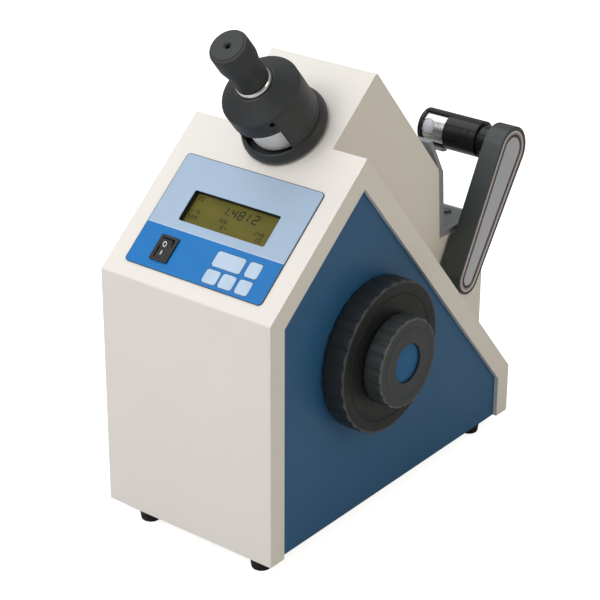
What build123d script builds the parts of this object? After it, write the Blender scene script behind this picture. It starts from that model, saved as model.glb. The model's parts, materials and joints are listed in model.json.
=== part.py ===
from build123d import *
import math
import os

# Abbe refractometer, digital, with a sighting telescope.  Millimetres, +Z up.
# Work frame: x = 0 in the middle of the case, y = 0 at the outer face of the front wall,
# z = 0 on the table.  Everything is shifted by (-OX, -OY, 0) when it is written, so that the
# origin of the part is the bottom centre of its bounding box.

# ---------------------------------------------------------------- driving dimensions
W = 180.0                 # case width
HW = W / 2
Y_BACK = 354.0            # rear wall
Z_BOT = 12.0              # lower edge of the case
Z_FRONT = 231.7           # top of the front wall
SL_F = 40.0               # front slope, degrees
SL_R = 50.0               # rear slope, degrees
Y_RIDGE_W = 122.9         # ridge of the wide body
Y_RIDGE_T = 181.7         # ridge of the tower
Y_TOWER = 277.2           # rear wall of the tower, at its upper bend
Y_TOWER_B = 282.3         # the same wall where it meets the rear box
TW = 55.0                 # half width of the tower
Z_BOX = 202.6             # top of the narrow rear box
WALL = 2.0                # cover wall
FLANGE = 18.0             # width of the in-turned borders
FLANGE_D = 4.0            # depth of the borders

X_AX = 3.0                # telescope axis
S_AX = 168.0              # telescope axis, distance along the slope from its front edge

KY, KZ = 137.0, 158.0     # hand wheel axis
R_COARSE = 67.0
R_FINE = 39.5
X_KNOB0, X_KNOB1, X_KNOB2 = 87.2, 108.0, 126.0

PIN_T = 20                # teeth of the pinion, module 1
SEC_T = 186               # teeth of the full circle of the sector, module 1
MOD = 1.0
CDIST = MOD * (PIN_T + SEC_T) / 2

ARM_Y, ARM_Z = 294.6, 166.8    # lower pivot of the lamp arm
ARM_L = 120.9
ARM_LEAN = 31.0                # degrees from vertical, towards the rear
ARM_RB, ARM_RT = 15.6, 22.0    # end radii
ARM_X0, ARM_X1, ARM_XS = 57.4, 80.0, 60.8
TUBE_R = 16.8
TUBE_X0, TUBE_X1 = -14.5, 47.5
TUBE_UP = 2.9                  # tube axis above the centre of the arm's upper end

c40, s40 = math.cos(math.radians(SL_F)), math.sin(math.radians(SL_F))
t40 = math.tan(math.radians(SL_F))
t50 = math.tan(math.radians(SL_R))
sa, ca = math.sin(math.radians(ARM_LEAN)), math.cos(math.radians(ARM_LEAN))
ARM_TY, ARM_TZ = ARM_Y + ARM_L * sa, ARM_Z + ARM_L * ca
LY, LZ = ARM_TY + TUBE_UP * sa, ARM_TZ + TUBE_UP * ca      # lamp tube axis

Z_RIDGE_W = Z_FRONT + Y_RIDGE_W * t40
Z_RIDGE_T = Z_FRONT + Y_RIDGE_T * t40
Z_KNEE_W = Z_RIDGE_W - (Y_BACK - Y_RIDGE_W) * t50
Z_KNEE_T = Z_RIDGE_T - (Y_TOWER - Y_RIDGE_T) * t50

OX = (X_KNOB2 - HW) / 2
OY = (ARM_TY + ARM_RT) / 2

C3 = (Align.CENTER, Align.CENTER, Align.CENTER)
CM = (Align.CENTER, Align.CENTER, Align.MIN)

os.makedirs("parts", exist_ok=True)
PARTS = {}


# ---------------------------------------------------------------- helpers
def prism_x(pts, x0, x1):
    """Polygon of (y, z) points between two x planes."""
    pl = Plane(origin=(x0, 0, 0), x_dir=(0, 1, 0), z_dir=(1, 0, 0))
    sk = pl * make_face(Polyline(*pts, close=True))
    return extrude(sk, amount=x1 - x0, dir=(1, 0, 0))


def box(x0, x1, y0, y1, z0, z1):
    return Pos((x0 + x1) / 2, (y0 + y1) / 2, (z0 + z1) / 2) * Box(x1 - x0, y1 - y0, z1 - z0, align=C3)


def xcyl(y, z, r, x0, x1):
    return Location((x0, y, z), (0, 90, 0)) * Cylinder(r, x1 - x0, align=CM)


def ycyl(x, z, r, y0, y1):
    return Location((x, y0, z), (-90, 0, 0)) * Cylinder(r, y1 - y0, align=CM)


def zcyl(x, y, r, z0, z1):
    return Pos(x, y, z0) * Cylinder(r, z1 - z0, align=CM)


def xring(y, z, ro, ri, x0, x1):
    return xcyl(y, z, ro, x0, x1) - xcyl(y, z, ri, x0 - 1, x1 + 1)


def rev(pts):
    """Solid of revolution about local Z from (r, h) points."""
    return revolve(Plane.XZ * make_face(Polyline(*pts, close=True)), axis=Axis.Z, revolution_arc=360)


def offset_poly(pts, d):
    """Polygon moved inwards by d (counter-clockwise points in (y, z)); d may be a list per edge."""
    n = len(pts)
    ds = d if isinstance(d, (list, tuple)) else [d] * n
    lines = []
    for i in range(n):
        (x0, y0), (x1, y1) = pts[i], pts[(i + 1) % n]
        L = math.hypot(x1 - x0, y1 - y0)
        nx, ny = -(y1 - y0) / L, (x1 - x0) / L
        lines.append(((x0 + nx * ds[i], y0 + ny * ds[i]), ((x1 - x0) / L, (y1 - y0) / L)))
    out = []
    for i in range(n):
        (p, u), (q, v) = lines[i - 1], lines[i]
        det = u[0] * (-v[1]) - (-v[0]) * u[1]
        rx, ry = q[0] - p[0], q[1] - p[1]
        t = (rx * (-v[1]) - (-v[0]) * ry) / det
        out.append((p[0] + u[0] * t, p[1] + u[1] * t))
    return out


def rot2(p, deg):
    a = math.radians(deg)
    return (p[0] * math.cos(a) - p[1] * math.sin(a), p[0] * math.sin(a) + p[1] * math.cos(a))


def slab(x0, x1, s0, s1, h0, h1, r=0.0):
    """Box on the front slope: x, s along the slope, h above it."""
    b = Pos((x0 + x1) / 2, (s0 + s1) / 2, (h0 + h1) / 2) * Box(x1 - x0, s1 - s0, h1 - h0, align=C3)
    if r > 0:
        b = fillet(b.edges().filter_by(Axis.Z), r)
    return b


SLOPE = Plane(origin=(0, 0, Z_FRONT), x_dir=(1, 0, 0), z_dir=(0, -s40, c40)).location
T0 = (X_AX, S_AX * c40, Z_FRONT + S_AX * s40)
TEL = Plane(origin=T0, x_dir=(1, 0, 0), z_dir=(0, -s40, c40)).location


def put(name, shape):
    PARTS[name] = Pos(-OX, -OY, 0) * shape


# ---------------------------------------------------------------- optics layout
# The mirror's face passes through S on the telescope axis; its axle lies MIR_OFF behind the face.
MIR_OFF = 9.0
MIR_TILT = (90.0 - SL_F) / 2          # face falls towards the rear by 25 degrees
my_, mz_ = math.sin(math.radians(MIR_TILT)), math.cos(math.radians(MIR_TILT))
ay0 = T0[1] - MIR_OFF * my_ - KY
az0 = T0[2] - MIR_OFF * mz_ - KZ
bb = ay0 * s40 - az0 * c40
cc = ay0 * ay0 + az0 * az0 - CDIST * CDIST
TT = -bb + math.sqrt(bb * bb - cc)    # depth of the mirror below the slope, along the axis
SY, SZ = T0[1] + s40 * TT, T0[2] - c40 * TT
AY, AZ = SY - MIR_OFF * my_, SZ - MIR_OFF * mz_

# ---------------------------------------------------------------- case cover
wide = [(0, Z_BOT), (Y_BACK, Z_BOT), (Y_BACK, Z_KNEE_W), (Y_RIDGE_W, Z_RIDGE_W), (0, Z_FRONT)]
tower = [(60, Z_BOT), (Y_BACK, Z_BOT), (Y_BACK, Z_BOX), (Y_TOWER_B, Z_BOX), (Y_TOWER, Z_KNEE_T),
         (Y_RIDGE_T, Z_RIDGE_T), (60, Z_FRONT + 60 * t40)]
wide_in = offset_poly(wide, [-5, WALL, WALL, WALL, WALL])
tower_in = offset_poly(tower, [-5, WALL, WALL, WALL, WALL, WALL, WALL])

outer = prism_x(wide, -HW, HW) + prism_x(tower, -TW, TW)
# bends of the sheet
outer = fillet(outer.edges().filter_by(Axis.X).filter_by(
    lambda e: (abs(e.center().Z - Z_FRONT) < 1 and e.center().Y < 1) or abs(e.center().Z - Z_RIDGE_T) < 1
    or abs(e.center().Z - Z_KNEE_T) < 1), 3.0)
inner = prism_x(wide_in, -HW + FLANGE_D, HW - FLANGE_D) + prism_x(tower_in, -TW + WALL, TW - WALL)
cover = outer - inner
side_hole = offset_poly(wide, [-5, FLANGE - 1, FLANGE, FLANGE, FLANGE])
lip = offset_poly(wide, [-5, FLANGE - 3, FLANGE - 2, FLANGE - 2, FLANGE - 2])
pocket = prism_x(wide_in, HW - FLANGE_D - 1, HW - WALL) - prism_x(lip, HW - FLANGE_D - 2, HW)
for sgn in (1, -1):
    hole = prism_x(side_hole, HW - 12, HW + 2)
    cut = hole + pocket
    if sgn < 0:
        cut = mirror(cut, about=Plane.YZ)
    cover -= cut
# rooms for the control panel, the telescope, the light path, the arm pivot and the inlet
INLET_X, INLET_Z = -22.0, 70.0
cover -= SLOPE * slab(-66, 65, 15.5, 118, -8, 8)
cover -= TEL * Pos(0, 0, -10) * Cylinder(30.0, 20, align=CM)
cover -= box(X_AX - 15, X_AX + 15, Y_TOWER - 5, Y_TOWER + 10, SZ - 14, SZ + 14)
cover -= xcyl(ARM_Y, ARM_Z, 6.3, TW - 5, TW + 5)
cover -= box(INLET_X - 14, INLET_X + 14, Y_BACK - 6, Y_BACK + 6, INLET_Z - 10.5, INLET_Z + 10.5)
for px in (-19.5, 19.5):
    cover -= ycyl(INLET_X + px, INLET_Z, 1.75, Y_BACK - 6, Y_BACK + 6)
put("case_cover", cover)

# ---------------------------------------------------------------- side panels
panel_pts = offset_poly(wide, [0, WALL + 0.3, WALL + 0.3, WALL + 0.3, WALL + 0.3])
pr = prism_x(panel_pts, HW - FLANGE_D - 1.8, HW - FLANGE_D)
put("side_panel_right", pr - xcyl(KY, KZ, 12.1, HW - 12, HW + 2))
put("side_panel_left", mirror(pr, about=Plane.YZ))

# ---------------------------------------------------------------- base plate, feet, screws
BX = HW - FLANGE_D - 2.0
base = box(-BX, BX, WALL + 0.2, Y_BACK - WALL - 0.2, Z_BOT, Z_BOT + 3)
FEET = [(-54.0, 12.5), (70.0, 12.5), (-54.0, 316.0), (73.0, 316.0)]
FOOT_R0, FOOT_R1 = 8.6, 10.0
feet, screws = [], []
for fx, fy in FEET:
    base -= zcyl(fx, fy, 2.2, Z_BOT - 1, Z_BOT + 5)
    f = Pos(fx, fy, 0) * rev([(0, 0), (FOOT_R0 - 0.8, 0), (FOOT_R0, 0.8), (FOOT_R1, Z_BOT), (0, Z_BOT)])
    f -= zcyl(fx, fy, 4.2, -1, 4.0)
    f -= zcyl(fx, fy, 2.2, 3, Z_BOT + 1)
    feet.append(f)
    # pan head screw in the foot's recess, with its nut on the plate
    sc = zcyl(fx, fy, 3.8, 1.6, 4.0) + zcyl(fx, fy, 2.0, 4.0, Z_BOT + 3.0) + zcyl(fx, fy, 3.6, Z_BOT + 3.0, Z_BOT + 6.0)
    sc -= box(fx - 3, fx + 3, fy - 0.4, fy + 0.4, 1.0, 2.4)
    screws.append(sc)
put("rubber_feet", feet[0] + feet[1] + feet[2] + feet[3])

# ---------------------------------------------------------------- optical frame
FX0, FX1 = 30.0, 36.0
DRIVE_X0, DRIVE_X1 = 44.0, 49.0       # plane of the gear teeth
fr_pts = [(92, 15), (262, 15), (262, 262), (200, 337), (178, 337), (118, 288), (118, 200), (92, 150)]
frame = prism_x(fr_pts, FX0, FX1) + prism_x(fr_pts, -FX1, -FX0)
win1 = [(150, 40), (240, 40), (240, 178), (196, 178), (164, 128), (150, 110)]
frame -= prism_x(win1, -60, 60)
frame += box(-FX1, FX1, 92, 262, 15, 20)
frame += box(-FX0, FX0, 256, 262, 20, 262)
frame -= box(X_AX - 16, X_AX + 16, 250, 270, SZ - 15, SZ + 15)
frame -= box(-20, 20, 250, 270, 40, 180)
frame += TEL * (Pos(-X_AX, 0, -33) * Box(2 * FX0, 52, 6, align=C3))
frame -= TEL * (Pos(0, 0, -40) * Cylinder(24.3, 14, align=CM))
frame -= xcyl(KY, KZ, 11.0, 20, 40)
frame -= xcyl(AY, AZ, 8.0, -45, 45)
FSCR = [(-24.0, 104.0), (24.0, 104.0), (-24.0, 248.0), (24.0, 248.0)]
for fx, fy in FSCR:
    frame -= zcyl(fx, fy, 2.2, 10, 25)
    base -= zcyl(fx, fy, 2.2, 10, 25)
    screws.append(zcyl(fx, fy, 3.8, 20.0, 22.4) + zcyl(fx, fy, 2.0, 11.5, 20.0))
put("optical_frame", frame)
put("base_plate", base)

# ---------------------------------------------------------------- bushes
KB = [xring(KY, KZ, 11.0, 8.05, 28.0, 38.0),
      xring(KY, KZ, 12.0, 8.05, 78.0, 86.4) + xring(KY, KZ, 18.0, 8.05, 80.0, HW - FLANGE_D - 1.8)]
MB = [xring(AY, AZ, 8.0, 5.05, 28.5, 37.5), xring(AY, AZ, 8.0, 5.05, -37.5, -28.5)]
put("bearing_bushes", KB[0] + KB[1] + MB[0] + MB[1])


# ---------------------------------------------------------------- involute teeth
def inv(a):
    return math.tan(a) - a


def tooth_flank(rb, r_from, r_to, half_at_pitch, rp, n=9):
    """Right flank as (r, half angle) pairs; half angle shrinks as r grows."""
    out = []
    ap = math.acos(rb / rp)
    for i in range(n):
        r = r_from + (r_to - r_from) * i / (n - 1)
        if r <= rb:
            h = half_at_pitch + inv(ap)
        else:
            h = half_at_pitch + inv(ap) - inv(math.acos(rb / r))
        out.append((r, h))
    return out


PRESS = math.radians(20)
BACKLASH = 0.10           # thinning of each tooth at the pitch circle


def gear_pts(teeth, first, last, phase, add=0.95, ded=1.25):
    """Points (angle order) of the toothed edge for teeth first..last about the gear's centre."""
    rp = MOD * teeth / 2
    rb = rp * math.cos(PRESS)
    half = (math.pi * MOD / 2 - BACKLASH) / 2 / rp
    ra, rr = rp + add * MOD, rp - ded * MOD
    pitch = 2 * math.pi / teeth
    pts = []
    for k in range(first, last + 1):
        a0 = phase + k * pitch
        fl = tooth_flank(rb, max(rb, rr + 0.05), ra, half, rp)
        pts.append((rr, a0 - pitch / 2 + 0.002))
        hb = fl[0][1]
        pts.append((rr, a0 - min(hb, pitch / 2 - 0.004)))
        for r, h in fl:
            pts.append((r, a0 - h))
        for r, h in reversed(fl):
            pts.append((r, a0 + h))
        pts.append((rr, a0 + min(hb, pitch / 2 - 0.004)))
    return [(r * math.cos(a), r * math.sin(a)) for r, a in pts]


# direction from the mirror axle to the hand wheel axis, in (y, z)
DIR = math.atan2(KZ - AZ, KY - AY)
# pinion: a tooth gap faces the sector; sector: a tooth on the line of centres
pin_phase = DIR + math.pi + math.pi / PIN_T
pin_pts = [(KY + a, KZ + b) for a, b in gear_pts(PIN_T, 0, PIN_T - 1, pin_phase)]
SEC_N = 8
sec_edge = gear_pts(SEC_T, -SEC_N, SEC_N, DIR)
sec_span = (SEC_N + 0.5) * 2 * math.pi / SEC_T
R_IN = SEC_T * MOD / 2 - 8
arm_in = [(R_IN * math.cos(DIR + a), R_IN * math.sin(DIR + a)) for a in (sec_span, sec_span / 2, 0, -sec_span / 2, -sec_span)]
sec = prism_x([(AY + a, AZ + b) for a, b in sec_edge + arm_in], DRIVE_X0, DRIVE_X1)
ux, uz = math.cos(DIR), math.sin(DIR)


def along(u, v):
    return (AY + ux * u - uz * v, AZ + uz * u + ux * v)


sec += prism_x([along(0, -7), along(R_IN + 2, -13), along(R_IN + 2, -8), along(20, -2.5), along(20, 2.5),
                along(R_IN + 2, 8), along(R_IN + 2, 13), along(0, 7)], DRIVE_X0, DRIVE_X1)
sec += xcyl(AY, AZ, 12, 39.5, DRIVE_X1)
sec -= xcyl(AY, AZ, 5.0, 30, 60)
put("sector_gear", sec)

# ---------------------------------------------------------------- hand wheel shafts
FINE_R = 5.0
shaft = xcyl(KY, KZ, 8.0, 24.0, X_KNOB1 - 4)
shaft += prism_x(pin_pts, DRIVE_X0 - 1.5, DRIVE_X1 + 1.5)
shaft += xring(KY, KZ, 10.5, 7.0, 38.4, 42.0)
shaft -= xcyl(KY, KZ, FINE_R + 0.05, 0, 140)
put("coarse_shaft", shaft)
put("fine_shaft", xcyl(KY, KZ, FINE_R, 18.0, X_KNOB2 - 6) + xcyl(KY, KZ, 9.5, 18.0, 23.6))

# optical encoder on the coarse shaft
ENC_X = 62.0
disc = xring(KY, KZ, 24.0, 7.0, ENC_X, ENC_X + 1.2) + xring(KY, KZ, 12.0, 7.0, ENC_X + 1.2, ENC_X + 7)
disc -= xcyl(KY, KZ, 8.0, ENC_X - 2, ENC_X + 10)
for k in range(12):
    a = math.radians(k * 30)
    disc -= xcyl(KY + 20.5 * math.cos(a), KZ + 20.5 * math.sin(a), 1.4, ENC_X - 1, ENC_X + 2)
put("encoder_disc", disc)
# fork of the sensor reaches over the disc's rim from a lug on the frame, below and in front of the shaft
sx0, sx1 = FX1, ENC_X + 8
ey, ez = KY - 6, KZ - 36
sensor = box(sx0, sx1, ey - 9, ey + 9, ez - 6, ez + 4)
sensor += box(ENC_X - 6.5, ENC_X + 7.7, ey - 7, ey + 7, ez + 3, ez + 19)
sensor -= box(ENC_X - 1.2, ENC_X + 2.4, ey - 12, ey + 12, ez + 6, ez + 30)
put("encoder_sensor", sensor)


# ---------------------------------------------------------------- hand wheels
def wheel(r, n, flute_r, depth, x0, x1, ch=1.6):
    """Hand wheel with n shallow flutes, rounded rims."""
    w = Location((x0, KY, KZ), (0, 90, 0)) * rev([(0, 0), (r - ch, 0), (r - 0.3 * ch, 0.3 * ch), (r, ch), (r, x1 - x0 - ch),
                                                  (r - 0.3 * ch, x1 - x0 - 0.3 * ch), (r - ch, x1 - x0), (0, x1 - x0)])
    d = r + flute_r - depth
    for k in range(n):
        a = 2 * math.pi * (k + 0.5) / n
        w -= xcyl(KY + d * math.cos(a), KZ + d * math.sin(a), flute_r, x0 - 1, x1 + 1)
    return w


N_COARSE, N_FINE = 29, 20
big = wheel(R_COARSE, N_COARSE, 7.0, 1.3, X_KNOB0, X_KNOB1, ch=1.8)
big -= xcyl(KY, KZ, 8.0, X_KNOB0 - 5, X_KNOB1 - 4)
big -= xcyl(KY, KZ, FINE_R + 1.0, X_KNOB0, X_KNOB1 + 5)
big -= xring(KY, KZ, 60.0, 20.0, X_KNOB0 - 1, X_KNOB0 + 13)
big -= xring(KY, KZ, 56.0, 55.0, X_KNOB1 - 0.5, X_KNOB1 + 1)
put("coarse_knob", big)
small = wheel(R_FINE, N_FINE, 5.0, 1.2, X_KNOB1 + 0.4, X_KNOB2, ch=1.6)
small -= xcyl(KY, KZ, FINE_R, X_KNOB1 - 5, X_KNOB2 - 6)
small -= xring(KY, KZ, 34.0, 12.0, X_KNOB1, X_KNOB1 + 10)
small -= xcyl(KY, KZ, 17.3, X_KNOB2 - 3.6, X_KNOB2 + 2)
put("fine_knob", small)
put("knob_disc", xcyl(KY, KZ, 17.0, X_KNOB2 - 3.6, X_KNOB2 - 1.8))

# ---------------------------------------------------------------- mirror
axle = xcyl(AY, AZ, 5.0, -40.0, DRIVE_X1 + 3) - box(-22 + X_AX, 22 + X_AX, AY - 20, AY + 20, AZ - 20, AZ - 19)
put("mirror_axle", axle)
MT = Plane(origin=(X_AX, AY, AZ), x_dir=(1, 0, 0), z_dir=(0, my_, mz_)).location
hold = MT * (Pos(0, 0, 0) * Location((-11, 0, 0), (0, 90, 0)) * Cylinder(9.0, 22, align=CM))
hold += MT * (Pos(0, 0, 4.5) * Box(26, 46, 3.0, align=C3))
hold += MT * (Pos(0, 0, 2.0) * Box(20, 14, 6.0, align=C3))
hold -= xcyl(AY, AZ, 5.0, -60, 60)
hold -= MT * (Pos(0, 0, 16) * Box(80, 80, 20, align=C3))
put("mirror_holder", hold)
put("folding_mirror", MT * (Pos(0, 0, 7.5) * Box(24, 44, 3.0, align=C3)))

# ---------------------------------------------------------------- telescope
H_BASE = 12.0             # base ring
H_MOAT = 6.0              # floor of the groove round the drum
H_GAP = 8.4               # drum starts
H_WIN = 36.8              # top of the window
R_DRUM = 27.9
H_BAND = 52.6             # top of the band
R_COL = 34.5
tb = rev([(20.0, -36), (24.0, -36), (24.0, -3), (29.7, -3), (29.7, 0), (35.0, 0), (36.4, 0.8), (37.6, 2.4), (38.2, 4.6), (38.2, 5.8), (37.7, 8.0),
          (36.7, 10.2), (35.6, 11.6), (34.6, H_BASE), (33.4, H_BASE), (33.4, H_MOAT), (24.0, H_MOAT),
          (24.0, 23), (20.0, 23)])
put("telescope_base", TEL * tb)

drum = rev([(24.05, H_GAP), (R_DRUM - 0.3, H_GAP), (R_DRUM, H_GAP + 0.3), (R_DRUM, H_WIN - 0.4), (26.4, H_WIN - 0.4), (26.4, 27.5), (19.0, 27.5), (19.0, 35.8),
            (14.6, 35.8), (14.6, 23.4), (24.05, 23.4)])
# narrow ledge that carries the prism
drum += rev([(12.0, 23.4), (15.0, 23.4), (15.0, 25.0), (12.0, 25.0)])
drum = drum + rev([(14.4, 23.4), (14.8, 23.4), (14.8, 35.8), (14.4, 35.8)])
put("dispersion_drum", TEL * drum)
put("upper_compensator_prism", TEL * (Pos(0, 0, 25.0) * Box(20, 20, 13.5, align=CM)))

cell = rev([(14.4, -33.5), (19.95, -33.5), (19.95, -1.0), (14.4, -1.0)]) + rev([(12.0, -33.5), (15.0, -33.5), (15.0, -31.5), (12.0, -31.5)])
put("compensator_cell", TEL * cell)
put("lower_compensator_prism", TEL * (Pos(0, 0, -31.5) * Box(20, 20, 26, align=CM)))

collar = rev([(33.4, H_BASE), (R_COL, H_BASE), (R_COL, H_BAND - 0.4), (R_COL - 0.5, H_BAND), (17.6, 65.3), (16.5, 65.3), (15.05, 64.4),
              (15.05, H_WIN), (33.4, H_WIN)])
collar -= rev([(18.0, 42), (31.5, 42), (31.5, 51.0), (18.0, 60.5)])
# finger window: from PHI0 to PHI1, measured from straight down the slope towards +x
PHI0, PHI1 = -40.0, 50.0
sect = [(0, 0)] + [(60 * math.sin(math.radians(a)), -60 * math.cos(math.radians(a)))
                   for a in [PHI0 + (PHI1 - PHI0) * i / 10 for i in range(11)]]
wcut = extrude(make_face(Polyline(*sect, close=True)), amount=H_WIN - H_BASE + 1, dir=(0, 0, 1))
collar -= Pos(0, 0, H_BASE - 1) * wcut
cs = []
SCREW_H = 48.4
for a in (46.0, 166.0, 286.0):
    d = (math.sin(math.radians(a)), -math.cos(math.radians(a)), 0)
    hole = Plane(origin=(d[0] * 28, d[1] * 28, SCREW_H), z_dir=d).location
    collar -= hole * Cylinder(2.4, 10, align=CM)
    cs.append(hole * Pos(0, 0, 0.4) * (Cylinder(2.35, 3.7, align=CM) - Pos(0, 0, 2.5) * Cylinder(1.1, 3, align=CM)))
put("telescope_collar", TEL * collar)
screws += [TEL * q for q in cs]

put("telescope_tube", TEL * rev([(12.0, 40), (15.0, 40), (15.0, 63.8), (12.9, 63.8), (12.9, 50), (12.0, 50)]))
put("objective_lens", TEL * rev([(0, 42.2), (4, 42.35), (8, 42.8), (12.0, 43.6), (12.0, 46.0), (8, 46.5), (4, 46.9), (0, 47.0)]))
put("eyepiece_sleeve", TEL * rev([(10.0, 52), (12.9, 52), (12.9, 65.4), (16.2, 65.4), (16.2, 65.9), (14.8, 69.5), (14.5, 69.8), (11.6, 69.8), (11.6, 91.0), (10.0, 91.0)]))
put("crossline_glass", TEL * rev([(0, 68), (10.0, 68), (10.0, 69.5), (0, 69.5)]))
put("ocular_cell", TEL * rev([(8.5, 72), (9.95, 72), (9.95, 108.5), (8.5, 108.5)]))
put("eye_lens", TEL * rev([(0, 100.6), (3, 100.8), (6, 101.5), (8.5, 102.6), (8.5, 105.0), (6, 105.6), (3, 106.1), (0, 106.3)]))
H_EYE0, H_EYE1 = 70.1, 115.6
eye = rev([(11.65, H_EYE0), (14.2, H_EYE0), (14.5, H_EYE0 + 0.4), (14.5, 84.0), (16.6, 95.0), (16.9, 96.2), (16.9, 104), (16.7, 112.4),
           (16.2, 113.9), (15.2, H_EYE1 - 1.0), (14.2, H_EYE1 - 0.9), (13.8, H_EYE1 - 0.6), (13.6, H_EYE1), (3.8, H_EYE1), (2.4, H_EYE1 - 1.0),
           (1.8, H_EYE1 - 2.2), (1.8, 109.5), (9.98, 109.5), (9.98, 91.6), (11.65, 91.6)])
put("eyepiece_body", TEL * eye)

# ---------------------------------------------------------------- control panel on the slope
PT = 1.0
plate = slab(-73, 72, 13.5, 121.3, 0, PT, r=4.0)
LCD = (-45.2, 45.6, 61.3, 91.0)
plate -= slab(LCD[0], LCD[1], LCD[2], LCD[3], -1, 3, r=2.0)
SWX, SWS = (-50.1, -31.5), (21.05, 45.05)
plate -= slab(SWX[0] + 1.2, SWX[1] - 1.2, SWS[0] + 1.2, SWS[1] - 1.2, -1, 3)
KEYS = {"key_1": (8.7, 38.2, 32.5, 46.9), "key_2": (42.2, 55.4, 32.7, 46.8), "key_3": (7.9, 22.4, 16.9, 29.7),
        "key_4": (24.6, 38.9, 16.9, 29.9), "key_5": (41.9, 55.2, 16.9, 30.0)}
for nm, (x0, x1, s0, s1) in KEYS.items():
    plate -= slab(x0 - 0.3, x1 + 0.3, s0 - 0.3, s1 + 0.3, -1, 3, r=2.3)
put("control_panel", SLOPE * plate)
put("display_window", SLOPE * slab(LCD[0], LCD[1], LCD[2], LCD[3], -0.9, 0.5, r=2.0))
LCD_H = -5.0              # face of the display
dm = slab(-52, 52, 55.5, 97, -12.0, -10.4) + slab(-49, 49, 58, 94.5, -10.5, -1.0)
dm -= slab(LCD[0], LCD[1], LCD[2], LCD[3], LCD_H, 0)
dm += slab(-20, 20, 62, 90, -16, -11.9)
put("display_module", SLOPE * dm)

KEY_TRAVEL = 0.6
KEY_TOP = 1.7
for nm, (x0, x1, s0, s1) in KEYS.items():
    k = slab(x0, x1, s0, s1, -2.0, KEY_TOP, r=2.0)
    k = chamfer(k.faces().sort_by(Axis.Z)[-1].edges(), 0.4)
    # retaining flange under the face plate
    k += slab(x0 - 0.8, x1 + 0.8, s0 - 0.8, s1 + 0.8, -1.6, -0.2)
    k += Pos((x0 + x1) / 2, (s0 + s1) / 2, -3.0) * Cylinder(1.5, 2.0, align=CM)
    put(nm, SLOPE * k)
kb = slab(4, 59, 18, 51, -8.6, -7.0)
for nm, (x0, x1, s0, s1) in KEYS.items():
    cx, cs_ = (x0 + x1) / 2, (s0 + s1) / 2
    kb += slab(cx - 3, cx + 3, cs_ - 3, cs_ + 3, -7.1, -4.6) + Pos(cx, cs_, -4.7) * Cylinder(1.6, 0.7, align=CM)
kb += slab(6, 10, 47, 50.5, -12, -8.5)
# posts to the cover
kb += slab(3.0, 7.0, 24, 44, -8.6, -0.2) - slab(4.0, 8.0, 20, 48, -7.0, 2.0)
put("keypad_board", SLOPE * kb)

# rocker switch
sh = slab(SWX[0], SWX[1], SWS[0], SWS[1], PT, PT + 1.8, r=1.2)
sh += slab(SWX[0] + 1.4, SWX[1] - 1.4, SWS[0] + 1.4, SWS[1] - 1.4, -17, PT + 0.5)
RX = (SWX[0] + 3.2, SWX[1] - 3.2)
RS = (SWS[0] + 2.6, SWS[1] - 2.6)
sh -= slab(RX[0], RX[1], RS[0], RS[1], -9, 8)
sxm = (SWX[0] + SWX[1]) / 2
ssm = (SWS[0] + SWS[1]) / 2
for q in (-6, 0, 6):
    sh += slab(sxm - 2.4, sxm + 2.4, ssm + q - 0.4, ssm + q + 0.4, -25, -16.5)
RP_H = -1.0               # pivot height
sh -= (Location((RX[0] - 1.2, ssm, RP_H), (0, 90, 0)) * Cylinder(1.55, RX[1] - RX[0] + 2.4, align=CM))
put("switch_housing", SLOPE * sh)
# paddle: two flats that meet over the pivot; rest = lower half pressed (on)
ROCK = 9.0                # tilt each way
rl = (RS[1] - RS[0]) / 2 - 0.9
pad = [(-rl, -3.2), (rl, -3.2), (rl, 3.5 + 0.9), (0.0, 3.0), (-rl, 3.5 + 0.9)]
pad = [rot2(p, 1.0 * ROCK) for p in pad]       # (s, h), lower end down
pl = Plane(origin=(RX[0] + 0.35, ssm, RP_H), x_dir=(0, 1, 0), z_dir=(1, 0, 0))
rk = extrude(pl * make_face(Polyline(*pad, close=True)), amount=RX[1] - RX[0] - 0.7, dir=(1, 0, 0))
rk += Location((RX[0] - 1.1, ssm, RP_H), (0, 90, 0)) * Cylinder(1.5, RX[1] - RX[0] + 2.2, align=CM)
put("rocker", SLOPE * rk)

# ---------------------------------------------------------------- prism side
BW = 54.5
SHELF = 4.8               # shelf thickness


def wall_y(z):
    """Outer face of the tower's rear wall."""
    return Y_TOWER + (Y_TOWER_B - Y_TOWER) * (Z_KNEE_T - z) / (Z_KNEE_T - Z_BOX)


Y_SHELF = 341.8           # rear edge of the shelf
BR = [(wall_y(Z_BOX) + 0.25, Z_BOX), (Y_SHELF, Z_BOX), (Y_SHELF, Z_BOX + SHELF), (289.5, Z_BOX + SHELF), (285.0, 266.0), (265.6, 301.1),
      (262.2, 299.2), (279.6, 267.3), (wall_y(267.3) + 0.25, 267.3)]
bracket = prism_x(BR, -BW, BW)
bracket -= box(X_AX - 12, X_AX + 12, Y_TOWER - 5, 295, SZ - 11, SZ + 12)
BSCR = [(30.5, 329.0), (-30.5, 329.0), (-49.0, 299.0)]
for fx, fy in BSCR:
    bracket -= zcyl(fx, fy, 2.2, Z_BOX - 5, Z_BOX + 8)
    screws.append(zcyl(fx, fy, 4.2, Z_BOX + SHELF, Z_BOX + SHELF + 2.7)
                  - box(fx - 5, fx + 5, fy - 0.5, fy + 0.5, Z_BOX + SHELF + 1.7, Z_BOX + SHELF + 4)
                  + zcyl(fx, fy, 2.0, Z_BOX - 6, Z_BOX + SHELF + 0.1))
    cover -= zcyl(fx, fy, 2.2, Z_BOX - 5, Z_BOX + 5)
put("case_cover", cover)
put("prism_bracket", bracket)
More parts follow.
